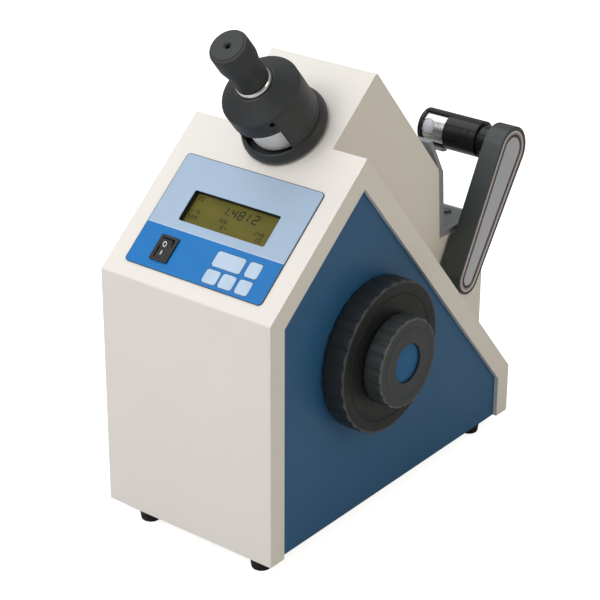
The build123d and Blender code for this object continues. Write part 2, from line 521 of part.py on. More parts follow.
# screws of the inlet's flange
for px in (-19.5, 19.5):
    sx = INLET_X + px
    screws.append(ycyl(sx, INLET_Z, 3.0, Y_BACK + 2.6, Y_BACK + 4.4) - box(sx - 4, sx + 4, Y_BACK + 3.7, Y_BACK + 6, INLET_Z - 0.4, INLET_Z + 0.4)
                  + ycyl(sx, INLET_Z, 1.6, Y_BACK - 6, Y_BACK + 2.7))
sg = screws[0]
for q in screws[1:]:
    sg = sg + q
put("machine_screws", sg)

PX0, PX1 = X_AX - 30, X_AX + 27
PY0, PY1 = 290.0, 316.0
PZ0, PZ1, PZ2 = Z_BOX + SHELF, 241.0, 261.5
blk = box(PX0, PX1, PY0, PY1, PZ0, PZ1)
blk = fillet(blk.edges().filter_by(Axis.Z), 1.5)
# seat of the glass and its window to the front
blk -= box(X_AX - 13, X_AX + 13, 293.0, 312.8, 214.0, PZ1 + 1)
blk -= box(X_AX - 10, X_AX + 10, PY0 - 1, 294, SZ - 9, SZ + 9)
put("prism_block", blk)
gl = prism_x([(293.0, 214.0), (305.3, 214.0), (312.8, 232.0), (312.8, 240.8), (293.0, 240.8)], X_AX - 13, X_AX + 13)
put("measuring_prism", gl)
# hinge: two knuckles on the block, one on the lid, one pin along y on the left
HX, HZ = PX0 - 3.4, PZ1 + 0.3
blk += box(PX0 - 3.4, PX0 + 1, PY0 + 0.3, PY0 + 6.3, HZ - 8, HZ - 2.0) + ycyl(HX, HZ, 3.2, PY0 + 0.3, PY0 + 6.3)
blk += box(PX0 - 3.4, PX0 + 1, PY1 - 6.3, PY1 - 0.3, HZ - 8, HZ - 2.0) + ycyl(HX, HZ, 3.2, PY1 - 6.3, PY1 - 0.3)
blk -= ycyl(HX, HZ, 1.5, PY0 - 2, PY1 + 2)
put("prism_block", blk)
put("lid_hinge_pin", ycyl(HX, HZ, 1.5, PY0 + 0.1, PY1 + 0.4))
lid = box(PX0 + 0.3, PX1, PY0 + 0.5, PY1 - 0.2, PZ1 + 0.4, PZ2)
lid = fillet(lid.edges().filter_by(Axis.Z), 1.5)
lid = fillet(lid.faces().sort_by(Axis.Z)[-1].edges(), 1.5)
lid += ycyl(HX, HZ, 3.2, PY0 + 6.7, PY1 - 6.7) + box(HX, PX0 + 2, PY0 + 6.7, PY1 - 6.7, HZ + 0.6, HZ + 3.2)
lid -= ycyl(HX, HZ, 1.56, PY0 - 2, PY1 + 2)
# mouth of the lid towards the lamp, seat of the illuminating glass
lid -= box(X_AX - 11, X_AX + 11, 307, PY1 + 2, PZ1 + 4.0, PZ1 + 17)
lid -= box(X_AX - 12, X_AX + 12, 293.0, 311.8, PZ1, PZ1 + 14.0)
put("prism_lid", lid)
put("illuminating_prism", prism_x([(293.0, PZ1 + 0.6), (311.6, PZ1 + 0.6), (311.6, PZ1 + 3.6), (306.3, PZ1 + 13.8), (293.0, PZ1 + 13.8)], X_AX - 12, X_AX + 12))
# lid grip
GZ = (PZ1 + PZ2) / 2 + 0.5
nip = []
for yy in (296.5, 309.5):
    n = Location((PX0, yy, 220.0), (0, -90, 0)) * rev([(1.8, 0), (5.0, 0), (5.0, 3.0), (3.5, 3.0), (3.5, 15.2), (2.9, 16.0), (1.8, 16)])
    nip.append(n)
put("hose_nipples", nip[0] + nip[1])

# ---------------------------------------------------------------- lamp arm
ap = Location((0, ARM_Y, ARM_Z))
stud = xcyl(ARM_Y, ARM_Z, 6.0, TW - WALL - 4, 74.0) + xcyl(ARM_Y, ARM_Z, 11.0, TW - WALL - 4, TW - WALL) + \
    xcyl(ARM_Y, ARM_Z, 11.0, TW, TW + 2.1)
put("arm_pivot", stud)


def capsule(x0, x1, ra, rb, u0=0.0):
    """Tapered bar with round ends from the lower pivot to the upper centre, in a y-z plane."""
    k = (rb - ra) / ARM_L
    q = math.sqrt(1 - k * k)
    # tangent points, local frame: u along the arm, v across
    a1, a2 = (-k * ra, q * ra), (ARM_L - k * rb, q * rb)

    def g(u, v):
        return (ARM_Y + u * sa + v * ca, ARM_Z + u * ca - v * sa)
    body = prism_x([g(a1[0], -a1[1]), g(a2[0], -a2[1]), g(a2[0], a2[1]), g(a1[0], a1[1])], x0, x1)
    return body + xcyl(ARM_Y, ARM_Z, ra, x0, x1) + xcyl(ARM_TY, ARM_TZ, rb, x0, x1)


arm = capsule(ARM_XS, ARM_X1, ARM_RB, ARM_RT)
low = capsule(ARM_X0, ARM_XS + 0.01, ARM_RB, ARM_RT)


def gq(u, v):
    return (ARM_Y + u * sa + v * ca, ARM_Z + u * ca - v * sa)


low &= prism_x([gq(-40, -60), gq(34, -60), gq(34, 60), gq(-40, 60)], ARM_X0 - 1, ARM_XS + 1)
arm += low
arm -= xcyl(ARM_Y, ARM_Z, 6.05, ARM_X0 - 5, 74.5)
arm -= xcyl(LY, LZ, 9.05, ARM_XS - 5, 74.5)
INL_RB, INL_RT = 12.8, 18.1
INL_D = 1.2
arm -= capsule(ARM_X1 - INL_D, ARM_X1 + 1, INL_RB + 0.1, INL_RT + 0.1)
put("lamp_arm", arm)
put("arm_inlay", capsule(ARM_X1 - INL_D, ARM_X1 - 0.2, INL_RB, INL_RT))

# ---------------------------------------------------------------- lamp
LAMP = Location((0, LY, LZ), (0, 90, 0))       # local z along +x; local x = -z, local y = y
lt = LAMP * rev([(0, TUBE_X0), (TUBE_R - 0.6, TUBE_X0), (TUBE_R, TUBE_X0 + 0.6), (TUBE_R, TUBE_X1 - 0.6), (TUBE_R - 0.6, TUBE_X1),
                 (14.0, TUBE_X1), (14.0, ARM_XS - 0.4), (9.0, ARM_XS - 0.4), (9.0, 73.5), (6.0, 73.5), (6.0, 44.0), (15.3, 44.0),
                 (15.3, TUBE_X0 + 2.3), (0, TUBE_X0 + 2.3)])
LW_X = (-10.8, 13.4)
W0, W1 = -55.0, 76.0       # window, degrees above the direction of -y


def sector_yz(a0, a1, r, x0, x1):
    pts = [(LY, LZ)] + [(LY - r * math.cos(math.radians(a0 + (a1 - a0) * i / 8)), LZ + r * math.sin(math.radians(a0 + (a1 - a0) * i / 8)))
                        for i in range(9)]
    return prism_x(pts, x0, x1)


lt -= sector_yz(W0, W1, 40, *LW_X)
# shade lip under the window
lip_ring = LAMP * rev([(TUBE_R - 0.6, -9.0), (19.7, -9.0), (20.1, -8.5), (20.1, 8.2), (19.7, 8.7), (TUBE_R - 0.6, 8.7)])
lt += lip_ring & sector_yz(-88.0, W0 - 1.0, 40, -12, 14)
put("lamp_tube", lt)
CLX = -5.0
LENS_R = 7.2
fd = math.radians(20.0)                        # the lens looks at the prisms
LENS = Plane(origin=(CLX, LY, LZ), x_dir=(1, 0, 0), z_dir=(0, -math.cos(fd), math.sin(fd))).location
refl = LAMP * rev([(13.2, TUBE_X0 + 2.5), (15.0, TUBE_X0 + 2.5), (15.0, 30.0), (13.2, 30.0)])
refl -= LENS * Pos(0, 0, 6.0) * Cylinder(LENS_R + 0.1, 14, align=CM)
put("lamp_reflector", refl)
lens = LENS * rev([(0, 8.0), (LENS_R, 8.0), (LENS_R, 12.7), (6.0, 13.9), (4.2, 14.9), (2.2, 15.5), (0, 15.7)])
put("condenser_lens", lens)
bulb = LAMP * rev([(0, -4.0), (1.6, -3.7), (2.9, -2.6), (3.5, -0.8), (3.5, 14.0), (5.0, 14.0), (5.0, 40.0), (0, 40.0)])
put("lamp_bulb", bulb)

# ---------------------------------------------------------------- electrics
mb = box(-70, 74, 24, 84, 22.0, 23.6)
for x, y in ((-66, 28), (70, 28), (-66, 80), (70, 80)):
    mb += zcyl(x, y, 3.0, Z_BOT + 3, 22.2)
mb += box(-60, -30, 30, 55, 23.5, 38) + box(-20, 15, 36, 66, 23.5, 27) + box(30, 44, 34, 50, 23.5, 33) + box(50, 66, 40, 74, 23.5, 31)
for i, (x, y) in enumerate(((-52, 68), (-38, 68), (24, 70), (36, 70))):
    mb += zcyl(x, y, 5.0, 23.5, 40)
put("main_board", mb)
tr = box(-80, -42, 236, 286, 15, 19) + box(-78, -44, 241, 281, 19, 58) + box(-74, -48, 234.5, 287.5, 22, 54)
put("power_transformer", tr)
iy = Y_BACK
il = box(INLET_X - 24, INLET_X + 24, iy, iy + 2.6, INLET_Z - 13, INLET_Z + 13)
il = fillet(il.edges().filter_by(Axis.Y), 3.0)
il += box(INLET_X - 13.6, INLET_X + 13.6, iy - 22, iy + 0.5, INLET_Z - 10.1, INLET_Z + 10.1)
il -= box(INLET_X - 11.8, INLET_X + 11.8, iy - 16, iy + 4, INLET_Z - 8.2, INLET_Z + 8.2)
for px, pz in ((0, 2.6), (-7.0, -1.4), (7.0, -1.4)):
    il += box(INLET_X + px - 1.0, INLET_X + px + 1.0, iy - 17, iy - 2, INLET_Z + pz - 2.0, INLET_Z + pz + 2.0)
for px in (-19.5, 19.5):
    il -= ycyl(INLET_X + px, INLET_Z, 1.7, iy - 1, iy + 4)
il += box(INLET_X - 10, INLET_X - 4, iy - 26, iy - 21.5, INLET_Z - 3, INLET_Z + 3) + box(INLET_X + 4, INLET_X + 10, iy - 26, iy - 21.5, INLET_Z - 3, INLET_Z + 3)
put("power_inlet", il)

# ---------------------------------------------------------------- write
for name, shape in PARTS.items():
    export_step(shape, f"parts/{name}.step")

print("origin shift", round(OX, 4), round(OY, 4))
print("telescope base", [round(v, 4) for v in T0])
print("mirror axle", round(AY, 4), round(AZ, 4), "light at z", round(SZ, 4))
print("lamp axis", round(LY, 4), round(LZ, 4), "arm top", round(ARM_TY, 4), round(ARM_TZ, 4))
print("hinge", round(HX, 3), round(HZ, 3), "rocker", round(ssm, 3), RP_H)
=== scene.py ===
import bpy
import bmesh
import json
import math
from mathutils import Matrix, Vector

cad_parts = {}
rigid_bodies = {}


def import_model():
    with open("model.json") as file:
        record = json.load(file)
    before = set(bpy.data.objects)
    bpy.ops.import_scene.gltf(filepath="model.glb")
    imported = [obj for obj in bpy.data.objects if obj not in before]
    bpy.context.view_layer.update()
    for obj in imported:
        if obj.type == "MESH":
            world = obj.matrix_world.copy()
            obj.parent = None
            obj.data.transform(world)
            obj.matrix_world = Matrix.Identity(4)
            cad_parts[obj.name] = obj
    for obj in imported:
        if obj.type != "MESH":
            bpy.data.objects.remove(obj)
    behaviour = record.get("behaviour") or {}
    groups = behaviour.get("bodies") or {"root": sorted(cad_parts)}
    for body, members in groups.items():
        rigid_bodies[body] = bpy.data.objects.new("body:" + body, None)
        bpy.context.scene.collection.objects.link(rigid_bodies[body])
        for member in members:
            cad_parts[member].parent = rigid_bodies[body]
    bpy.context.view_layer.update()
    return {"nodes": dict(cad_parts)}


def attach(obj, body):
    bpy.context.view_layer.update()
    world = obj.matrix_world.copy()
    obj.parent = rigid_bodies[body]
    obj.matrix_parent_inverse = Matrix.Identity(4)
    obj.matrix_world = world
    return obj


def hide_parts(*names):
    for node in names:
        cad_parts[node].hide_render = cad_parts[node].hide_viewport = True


# Abbe refractometer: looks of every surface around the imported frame.
# Measures are written in millimetres in the work frame of the part (x = 0 in the middle of the
# case, y = 0 at the front wall, z = 0 on the table) and turned into metres of the row frame.

for o in list(bpy.data.objects):
    bpy.data.objects.remove(o, do_unlink=True)

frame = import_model()
NODES = frame["nodes"]

# ---------------------------------------------------------------- dimensions
SL_F = 40.0
c40, s40 = math.cos(math.radians(SL_F)), math.sin(math.radians(SL_F))
Z_FRONT = 231.7
X_AX, S_AX = 3.0, 168.0
KY, KZ = 137.0, 158.0
X_KNOB0, X_KNOB1, X_KNOB2 = 87.2, 108.0, 126.0
ARM_Y, ARM_Z, ARM_L, ARM_LEAN = 294.6, 166.8, 120.9, 31.0
ARM_RB, ARM_RT = 15.6, 22.0
sa, ca = math.sin(math.radians(ARM_LEAN)), math.cos(math.radians(ARM_LEAN))
ARM_TY, ARM_TZ = ARM_Y + ARM_L * sa, ARM_Z + ARM_L * ca
LY, LZ = ARM_TY + 2.9 * sa, ARM_TZ + 2.9 * ca
OX, OY = 18.0, (ARM_TY + ARM_RT) / 2
T0 = (X_AX, S_AX * c40, Z_FRONT + S_AX * s40)
H_BASE, H_GAP, H_WIN, H_BAND, R_COL = 12.0, 8.4, 36.8, 52.6, 34.5
R_DRUM = 27.9


class Frame:
    """Local millimetres to metres of the row frame."""

    def __init__(self, o, ex, ey, ez):
        self.o, self.ex, self.ey, self.ez = Vector(o), Vector(ex), Vector(ey), Vector(ez)

    def work(self, a, b, c):
        return self.o + self.ex * a + self.ey * b + self.ez * c

    def __call__(self, a, b, c):
        p = self.work(a, b, c)
        return Vector(((p.x - OX) / 1000, (p.y - OY) / 1000, p.z / 1000))


WORK = Frame((0, 0, 0), (1, 0, 0), (0, 1, 0), (0, 0, 1))
SLOPE = Frame((0, 0, Z_FRONT), (1, 0, 0), (0, c40, s40), (0, -s40, c40))
TEL = Frame(T0, (1, 0, 0), (0, c40, s40), (0, -s40, c40))
KNOB = Frame((0, KY, KZ), (0, 1, 0), (0, 0, 1), (1, 0, 0))
LAMP = Frame((0, LY, LZ), (0, 1, 0), (0, 0, 1), (1, 0, 0))
ARM = Frame((0, ARM_Y, ARM_Z), (0, ca, -sa), (0, sa, ca), (1, 0, 0))
fd = math.radians(20.0)
LENS = Frame((-5.0, LY, LZ), (1, 0, 0), (0, math.sin(fd), math.cos(fd)), (0, -math.cos(fd), math.sin(fd)))


# ---------------------------------------------------------------- materials
def lin(c):
    out = []
    for v in c[:3]:
        v = v / 255
        out.append(v / 12.92 if v <= 0.04045 else ((v + 0.055) / 1.055) ** 2.4)
    return (*out, 1.0)


def scaled(c, k):
    return (*[min(1.0, v * k) for v in c[:3]], 1.0)


class Mat:
    def __init__(self, name, color=(128, 128, 128), rough=0.4, metal=0.0, spec=0.5, ior=1.5, coat=0.0, coat_rough=0.1,
                 trans=0.0, alpha=1.0):
        self.m = bpy.data.materials.new(name)
        self.m.use_nodes = True
        self.nt = self.m.node_tree
        self.nt.nodes.clear()
        self.out = self.nt.nodes.new("ShaderNodeOutputMaterial")
        self.b = self.nt.nodes.new("ShaderNodeBsdfPrincipled")
        self.nt.links.new(self.b.outputs[0], self.out.inputs[0])
        self.color = lin(color)
        s = self.b.inputs
        s["Base Color"].default_value = self.color
        s["Roughness"].default_value = rough
        s["Metallic"].default_value = metal
        s["Specular IOR Level"].default_value = spec
        s["IOR"].default_value = ior
        s["Coat Weight"].default_value = coat
        s["Coat Roughness"].default_value = coat_rough
        s["Transmission Weight"].default_value = trans
        s["Alpha"].default_value = alpha
        self.tc = self.nt.nodes.new("ShaderNodeTexCoord")
        self.co = self.tc.outputs["Object"]
        self.last_normal = None

    def node(self, kind, **kw):
        n = self.nt.nodes.new(kind)
        for k, v in kw.items():
            setattr(n, k, v)
        return n

    def link(self, a, b):
        self.nt.links.new(a, b)
        return self

    def put(self, socket, value):
        """A link where value is a socket, else the plain value."""
        if isinstance(value, bpy.types.NodeSocket):
            self.nt.links.new(value, socket)
        else:
            socket.default_value = value

    def mapping(self, loc=(0, 0, 0), rot=(0, 0, 0), scale=(1, 1, 1), vec=None):
        n = self.node("ShaderNodeMapping")
        n.inputs["Location"].default_value = loc
        n.inputs["Rotation"].default_value = rot
        n.inputs["Scale"].default_value = scale
        self.link(vec or self.co, n.inputs["Vector"])
        return n.outputs[0]

    def local(self, fr):
        """Object coordinates turned into a local frame, in metres."""
        o = fr(0, 0, 0)
        n = []
        for e in (fr.ex, fr.ey, fr.ez):
            d = self.node("ShaderNodeVectorMath", operation="DOT_PRODUCT")
            self.link(self.co, d.inputs[0])
            d.inputs[1].default_value = e
            n.append(self.math("SUBTRACT", d.outputs["Value"], o.dot(e)))
        c = self.node("ShaderNodeCombineXYZ")
        for i in range(3):
            self.link(n[i], c.inputs[i])
        return c.outputs[0], n

    def noise(self, scale, detail=2.0, rough=0.5, vec=None, dims="3D", w=None, distortion=0.0):
        n = self.node("ShaderNodeTexNoise", noise_dimensions=dims)
        n.inputs["Scale"].default_value = scale
        n.inputs["Detail"].default_value = detail
        n.inputs["Roughness"].default_value = rough
        n.inputs["Distortion"].default_value = distortion
        if dims == "1D":
            self.link(w, n.inputs["W"])
        else:
            self.link(vec or self.co, n.inputs["Vector"])
        return n.outputs[0]

    def voronoi(self, scale, vec=None, feature="F1", out="Distance"):
        n = self.node("ShaderNodeTexVoronoi", feature=feature)
        n.inputs["Scale"].default_value = scale
        self.link(vec or self.co, n.inputs["Vector"])
        return n.outputs[out]

    def math(self, op, a, b=0.0, c=None, clamp=False):
        n = self.node("ShaderNodeMath", operation=op, use_clamp=clamp)
        self.put(n.inputs[0], a)
        self.put(n.inputs[1], b)
        if c is not None:
            self.put(n.inputs[2], c)
        return n.outputs[0]

    def range(self, v, a, b, lo=0.0, hi=1.0, smooth=False):
        n = self.node("ShaderNodeMapRange", interpolation_type="SMOOTHSTEP" if smooth else "LINEAR")
        self.link(v, n.inputs["Value"])
        for k, q in (("From Min", a), ("From Max", b), ("To Min", lo), ("To Max", hi)):
            n.inputs[k].default_value = q
        return n.outputs[0]

    def mix(self, fac, a, b, blend="MIX"):
        n = self.node("ShaderNodeMix", data_type="RGBA", blend_type=blend)
        self.put(n.inputs[0], fac)
        self.put(n.inputs[6], a)
        self.put(n.inputs[7], b)
        return n.outputs[2]

    def bump(self, height, distance, strength=1.0):
        n = self.node("ShaderNodeBump")
        n.inputs["Strength"].default_value = strength
        n.inputs["Distance"].default_value = distance
        self.link(height, n.inputs["Height"])
        if self.last_normal is not None:
            self.link(self.last_normal, n.inputs["Normal"])
        self.last_normal = n.outputs[0]
        self.link(n.outputs[0], self.b.inputs["Normal"])
        return self

    def base(self, v):
        self.link(v, self.b.inputs["Base Color"])
        return self

    def rough(self, v):
        self.link(v, self.b.inputs["Roughness"])
        return self


def tint(m, amount=0.03, scale=14.0, color=None):
    """Slow change of the colour over the surface, as handled paint and plastic have."""
    c = color or m.color
    n = m.noise(scale, 3.0, 0.55)
    return m.mix(m.range(n, 0.3, 0.7), scaled(c, 1 - amount), scaled(c, 1 + amount))


def paint(name, color, rough=0.36, peel=900.0, peel_mm=0.012, amount=0.02, spec=0.5, speck=0.0, **kw):
    """Sprayed and baked paint: orange peel, slow change of shade, handled gloss."""
    m = Mat(name, color, rough, spec=spec, **kw)
    c = tint(m, amount, 9.0)
    if speck:
        v = m.noise(2600.0, 1.0)
        c = m.mix(m.range(v, 0.60, 0.72, 0.0, speck), c, scaled(m.color, 0.6))
    m.base(c)
    m.rough(m.range(m.noise(22.0, 4.0, 0.6), 0.25, 0.75, rough - 0.05, rough + 0.06))
    m.bump(m.noise(peel, 2.0, 0.5), peel_mm / 1000)
    m.bump(m.noise(120.0, 2.0, 0.5), 0.03 / 1000)
    return m


def plastic(name, color, rough=0.42, grain=1700.0, grain_mm=0.02, amount=0.05, spec=0.5, **kw):
    """Moulded plastic or anodised part with a fine matt grain."""
    m = Mat(name, color, rough, spec=spec, **kw)
    m.base(tint(m, amount, 30.0))
    m.rough(m.range(m.noise(60.0, 4.0, 0.6), 0.25, 0.75, rough - 0.05, rough + 0.07))
    m.bump(m.noise(grain, 2.0, 0.6), grain_mm / 1000)
    return m


def turned(name, color, fr, rough=0.3, metal=1.0, pitch=2600.0, groove_mm=0.01, amount=0.06, spec=0.5, grain=0.0, **kw):
    """Lathe-turned surface: fine rings round the axis of the frame fr."""
    m = Mat(name, color, rough, metal=metal, spec=spec, **kw)
    vec, (x, y, z) = m.local(fr)
    r = m.math("SQRT", m.math("ADD", m.math("MULTIPLY", x, x), m.math("MULTIPLY", y, y)))
    w = m.math("ADD", r, z)
    rings = m.noise(pitch, 3.0, 0.7, dims="1D", w=w)
    broad = m.noise(260.0, 2.0, 0.5, dims="1D", w=w)
    cloud = m.noise(45.0, 3.0, 0.6)
    c = m.mix(m.range(rings, 0.3, 0.7), scaled(m.color, 1 - amount), scaled(m.color, 1 + amount))
    c = m.mix(m.range(cloud, 0.35, 0.7, 0.0, 0.6), c, scaled(m.color, 1 - amount * 1.5))
    m.base(c)
    m.rough(m.range(m.math("MULTIPLY", m.math("ADD", rings, broad), 0.5), 0.3, 0.7, rough - 0.06, rough + 0.08))
    m.bump(rings, groove_mm / 1000)
    if grain:
        m.bump(m.noise(1900.0, 2.0, 0.6), grain / 1000)
    return m


def steel(name, color, rough=0.3, scratch=(1.0, 1.0, 0.06), metal=1.0, depth_mm=0.006, amount=0.06, spec=0.5, **kw):
    """Machined metal with drawn scratches along one direction."""
    m = Mat(name, color, rough, metal=metal, spec=spec, **kw)
    v = m.mapping(scale=scratch)
    s = m.noise(2200.0, 3.0, 0.7, vec=v)
    cloud = m.noise(60.0, 4.0, 0.6)
    c = m.mix(m.range(cloud, 0.3, 0.7), scaled(m.color, 1 - amount), scaled(m.color, 1 + amount))
    m.base(c)
    m.rough(m.range(s, 0.3, 0.7, rough - 0.06, rough + 0.10))
    m.bump(s, depth_mm / 1000)
    return m


def glass(name, color, rough=0.02, ior=1.5, trans=1.0, spec=0.5, frost=0.0):
    """Ground and polished glass with a breath of dust."""
    m = Mat(name, color, rough, ior=ior, trans=trans, spec=spec)
    dust = m.noise(300.0, 4.0, 0.7)
    m.base(m.mix(m.range(dust, 0.35, 0.75), m.color, scaled(m.color, 0.94)))
    m.rough(m.range(dust, 0.3, 0.8, rough, rough + 0.05 + frost))
    if frost:
        m.bump(m.noise(2400.0, 2.0, 0.6), 0.02 / 1000)
    return m


MAT = {}
MAT["cover"] = paint("cover_paint", (234, 230, 225), rough=0.38, amount=0.012, spec=0.4)
MAT["panel"] = paint("panel_paint", (46, 96, 140), rough=0.44, amount=0.03, peel_mm=0.015, spec=0.3)
MAT["bracket"] = paint("bracket_grey", (147, 151, 156), rough=0.42, amount=0.03, peel=1400.0, peel_mm=0.02, speck=0.25)

m = Mat("plate_zinc", (176, 178, 172), 0.38, metal=0.9)
v = m.voronoi(90.0, out="Color")
sep = m.node("ShaderNodeSeparateColor")
m.link(v, sep.inputs[0])
m.base(m.mix(sep.outputs[0], lin((168, 172, 168)), lin((190, 188, 176))))
m.rough(m.range(sep.outputs[1], 0.0, 1.0, 0.32, 0.5))
m.bump(m.noise(1500.0, 2.0), 0.01 / 1000)
MAT["zinc"] = m

m = Mat("foot_rubber", (26, 26, 27), 0.72, spec=0.35)
m.base(tint(m, 0.15, 60.0))
m.rough(m.range(m.noise(90.0, 4.0), 0.3, 0.7, 0.62, 0.82))
m.bump(m.noise(1300.0, 3.0, 0.7), 0.05 / 1000)
MAT["rubber"] = m

m = steel("screw_steel", (150, 150, 150), rough=0.3, scratch=(0.2, 1.0, 1.0))
# the set screws of the telescope are blackened
vec, (fx, fy, fh) = m.local(TEL)
far = m.math("MULTIPLY", m.range(fh, 0.0440, 0.0442), m.range(fh, 0.0526, 0.0528, 1.0, 0.0))
far = m.math("MULTIPLY", far, m.range(m.math("ABSOLUTE", fy), 0.040, 0.041, 1.0, 0.0))
far = m.math("MULTIPLY", far, m.range(m.math("ABSOLUTE", fx), 0.040, 0.041, 1.0, 0.0))
m.base(m.mix(far, m.mix(m.range(m.noise(60.0, 4.0, 0.6), 0.3, 0.7), lin((146, 146, 146)), lin((156, 156, 155))), lin((14, 15, 16))))
MAT["screw"] = m

# the face plate: a printed film in two tones, with painted shade darkening the plate's edge
m = Mat("face_plate", (171, 191, 216), 0.46, spec=0.3)
vec, (fx, fs, fh) = m.local(SLOPE)
up = m.mix(m.range(m.noise(40.0, 3.0), 0.3, 0.7), scaled(lin((166, 188, 213)), 0.985), scaled(lin((166, 188, 213)), 1.015))
low = m.mix(m.range(m.noise(40.0, 3.0), 0.3, 0.7), scaled(lin((16, 117, 192)), 0.97), scaled(lin((16, 117, 192)), 1.03))
both = m.mix(m.range(fs, 0.05275, 0.05285), low, up)
line = m.math("MULTIPLY", m.range(fs, 0.05270, 0.05285), m.range(fs, 0.05330, 0.05345, 1.0, 0.0))
both = m.mix(m.math("MULTIPLY", line, 0.6), both, lin((226, 232, 240)))
rim = m.range(fh, 0.00055, 0.00085)
# painted shade: thin dark line round the plate's edge and on its sides, along its rounded rectangle
qx = m.math("MAXIMUM", m.math("SUBTRACT", m.math("ABSOLUTE", m.math("ADD", fx, 0.0005)), 0.0685), 0.0)
qs = m.math("MAXIMUM", m.math("SUBTRACT", m.math("ABSOLUTE", m.math("SUBTRACT", fs, 0.0674)), 0.0499), 0.0)
dist = m.math("SQRT", m.math("ADD", m.math("MULTIPLY", qx, qx), m.math("MULTIPLY", qs, qs)))
rim = m.math("MULTIPLY", rim, m.range(dist, 0.00335, 0.00350, 1.0, 0.0))
both = m.mix(rim, lin((58, 70, 84)), both)
m.base(both)
m.rough(m.range(m.noise(3200.0, 1.0), 0.3, 0.7, 0.38, 0.5))
m.bump(m.noise(2600.0, 1.0), 0.006 / 1000)
MAT["face"] = m

# clear window over the display: an anti-glare film that hides nothing behind it
m = Mat("display_glass", (16, 18, 18), 0.08, spec=0.5, alpha=0.10)
m.rough(m.range(m.noise(500.0, 3.0), 0.3, 0.7, 0.06, 0.14))
m.bump(m.noise(900.0, 1.0), 0.002 / 1000)
MAT["window"] = m

# display: olive face in the recess, dark frame round it
m = Mat("module_olive", (118, 111, 34), 0.5, spec=0.3)
vec, (fx, fs, fh) = m.local(SLOPE)
face = m.math("MULTIPLY", m.range(fh, -0.00512, -0.00506), m.range(fh, -0.00494, -0.00488, 1.0, 0.0))
inx = m.range(m.math("ABSOLUTE", m.math("SUBTRACT", fx, 0.0002)), 0.0455, 0.0457, 1.0, 0.0)
ins = m.range(m.math("ABSOLUTE", m.math("SUBTRACT", fs, 0.07615)), 0.0150, 0.0152, 1.0, 0.0)
face = m.math("MULTIPLY", face, m.math("MULTIPLY", inx, ins))
cl = m.noise(55.0, 3.0, 0.5)
olive = m.mix(m.range(cl, 0.3, 0.7), lin((116, 112, 28)), lin((131, 122, 36)))
dots = m.node("ShaderNodeTexWave", wave_type="BANDS", bands_direction="X", wave_profile="SIN")
m.link(vec, dots.inputs["Vector"])
dots.inputs["Scale"].default_value = 800.0
olive = m.mix(m.math("MULTIPLY", dots.outputs["Fac"], 0.12), olive, lin((92, 90, 22)))
dark = m.mix(m.range(m.noise(90.0, 2.0), 0.3, 0.7), lin((24, 26, 27)), lin((33, 35, 37)))
m.base(m.mix(face, dark, olive))
m.bump(m.noise(1500.0, 1.0), 0.006 / 1000)
MAT["module"] = m

m = Mat("display_ink", (28, 31, 12), 0.5, spec=0.3)
m.base(m.mix(m.range(m.noise(200.0, 2.0), 0.3, 0.7), lin((26, 29, 11)), lin((36, 39, 15))))
MAT["ink"] = m

MAT["switch"] = plastic("switch_black", (27, 28, 30), rough=0.33, grain=2400.0, grain_mm=0.008)
m = Mat("mark_white", (232, 232, 230), 0.45)
m.base(tint(m, 0.03, 300.0))
MAT["white"] = m

m = Mat("board_green", (24, 74, 48), 0.4)
g = m.node("ShaderNodeTexBrick")
m.link(m.co, g.inputs["Vector"])
g.inputs["Scale"].default_value = 160.0
g.inputs["Color1"].default_value = lin((22, 72, 46))
g.inputs["Color2"].default_value = lin((28, 84, 52))
g.inputs["Mortar"].default_value = lin((60, 110, 70))
m.base(g.outputs["Color"])
m.bump(m.noise(900.0, 2.0), 0.02 / 1000)
MAT["board"] = m

MAT["tel"] = turned("black_anodised", (39, 42, 45), TEL, rough=0.47, metal=0.0, pitch=1500.0, groove_mm=0.006, amount=0.08, grain=0.012)
m = turned("sleeve_chrome", (226, 226, 228), TEL, rough=0.13, pitch=2400.0, groove_mm=0.003, amount=0.03)
# chrome only between h 66.0 and 68.6 mm; the bands above and below are painted dark as shade in the grooves
vec, (fx, fy, fh) = m.local(TEL)
lit = m.math("MULTIPLY", m.range(fh, 0.06600, 0.06612), m.range(fh, 0.06855, 0.06868, 1.0, 0.0))
m.base(m.mix(lit, m.mix(m.range(m.noise(60.0), 0.3, 0.7), lin((30, 32, 34)), lin((36, 38, 40))), lin((224, 225, 228))))
m.link(lit, m.b.inputs["Metallic"])
MAT["chrome"] = m
MAT["drum"] = turned("drum_silver", (250, 251, 252), TEL, rough=0.45, metal=0.0, pitch=3200.0, groove_mm=0.012, amount=0.10)
MAT["eyecup"] = plastic("eyecup_black", (45, 49, 51), rough=0.56, grain=1300.0, grain_mm=0.03)
MAT["frame"] = steel("frame_metal", (150, 152, 152), rough=0.42, scratch=(1.0, 0.08, 1.0))
MAT["brass"] = turned("bush_brass", (190, 156, 92), KNOB, rough=0.3, pitch=1800.0, groove_mm=0.006)
MAT["optic"] = glass("optical_glass", (246, 250, 250), ior=1.6)
MAT["sensor"] = plastic("sensor_black", (28, 28, 30), rough=0.5)
MAT["prism"] = steel("prism_metal", (158, 158, 160), rough=0.3, scratch=(0.08, 1.0, 1.0))
MAT["iron"] = steel("transformer_iron", (92, 90, 88), rough=0.5, scratch=(1.0, 1.0, 0.05), amount=0.15)
MAT["inlet"] = plastic("inlet_black", (30, 31, 33), rough=0.4)


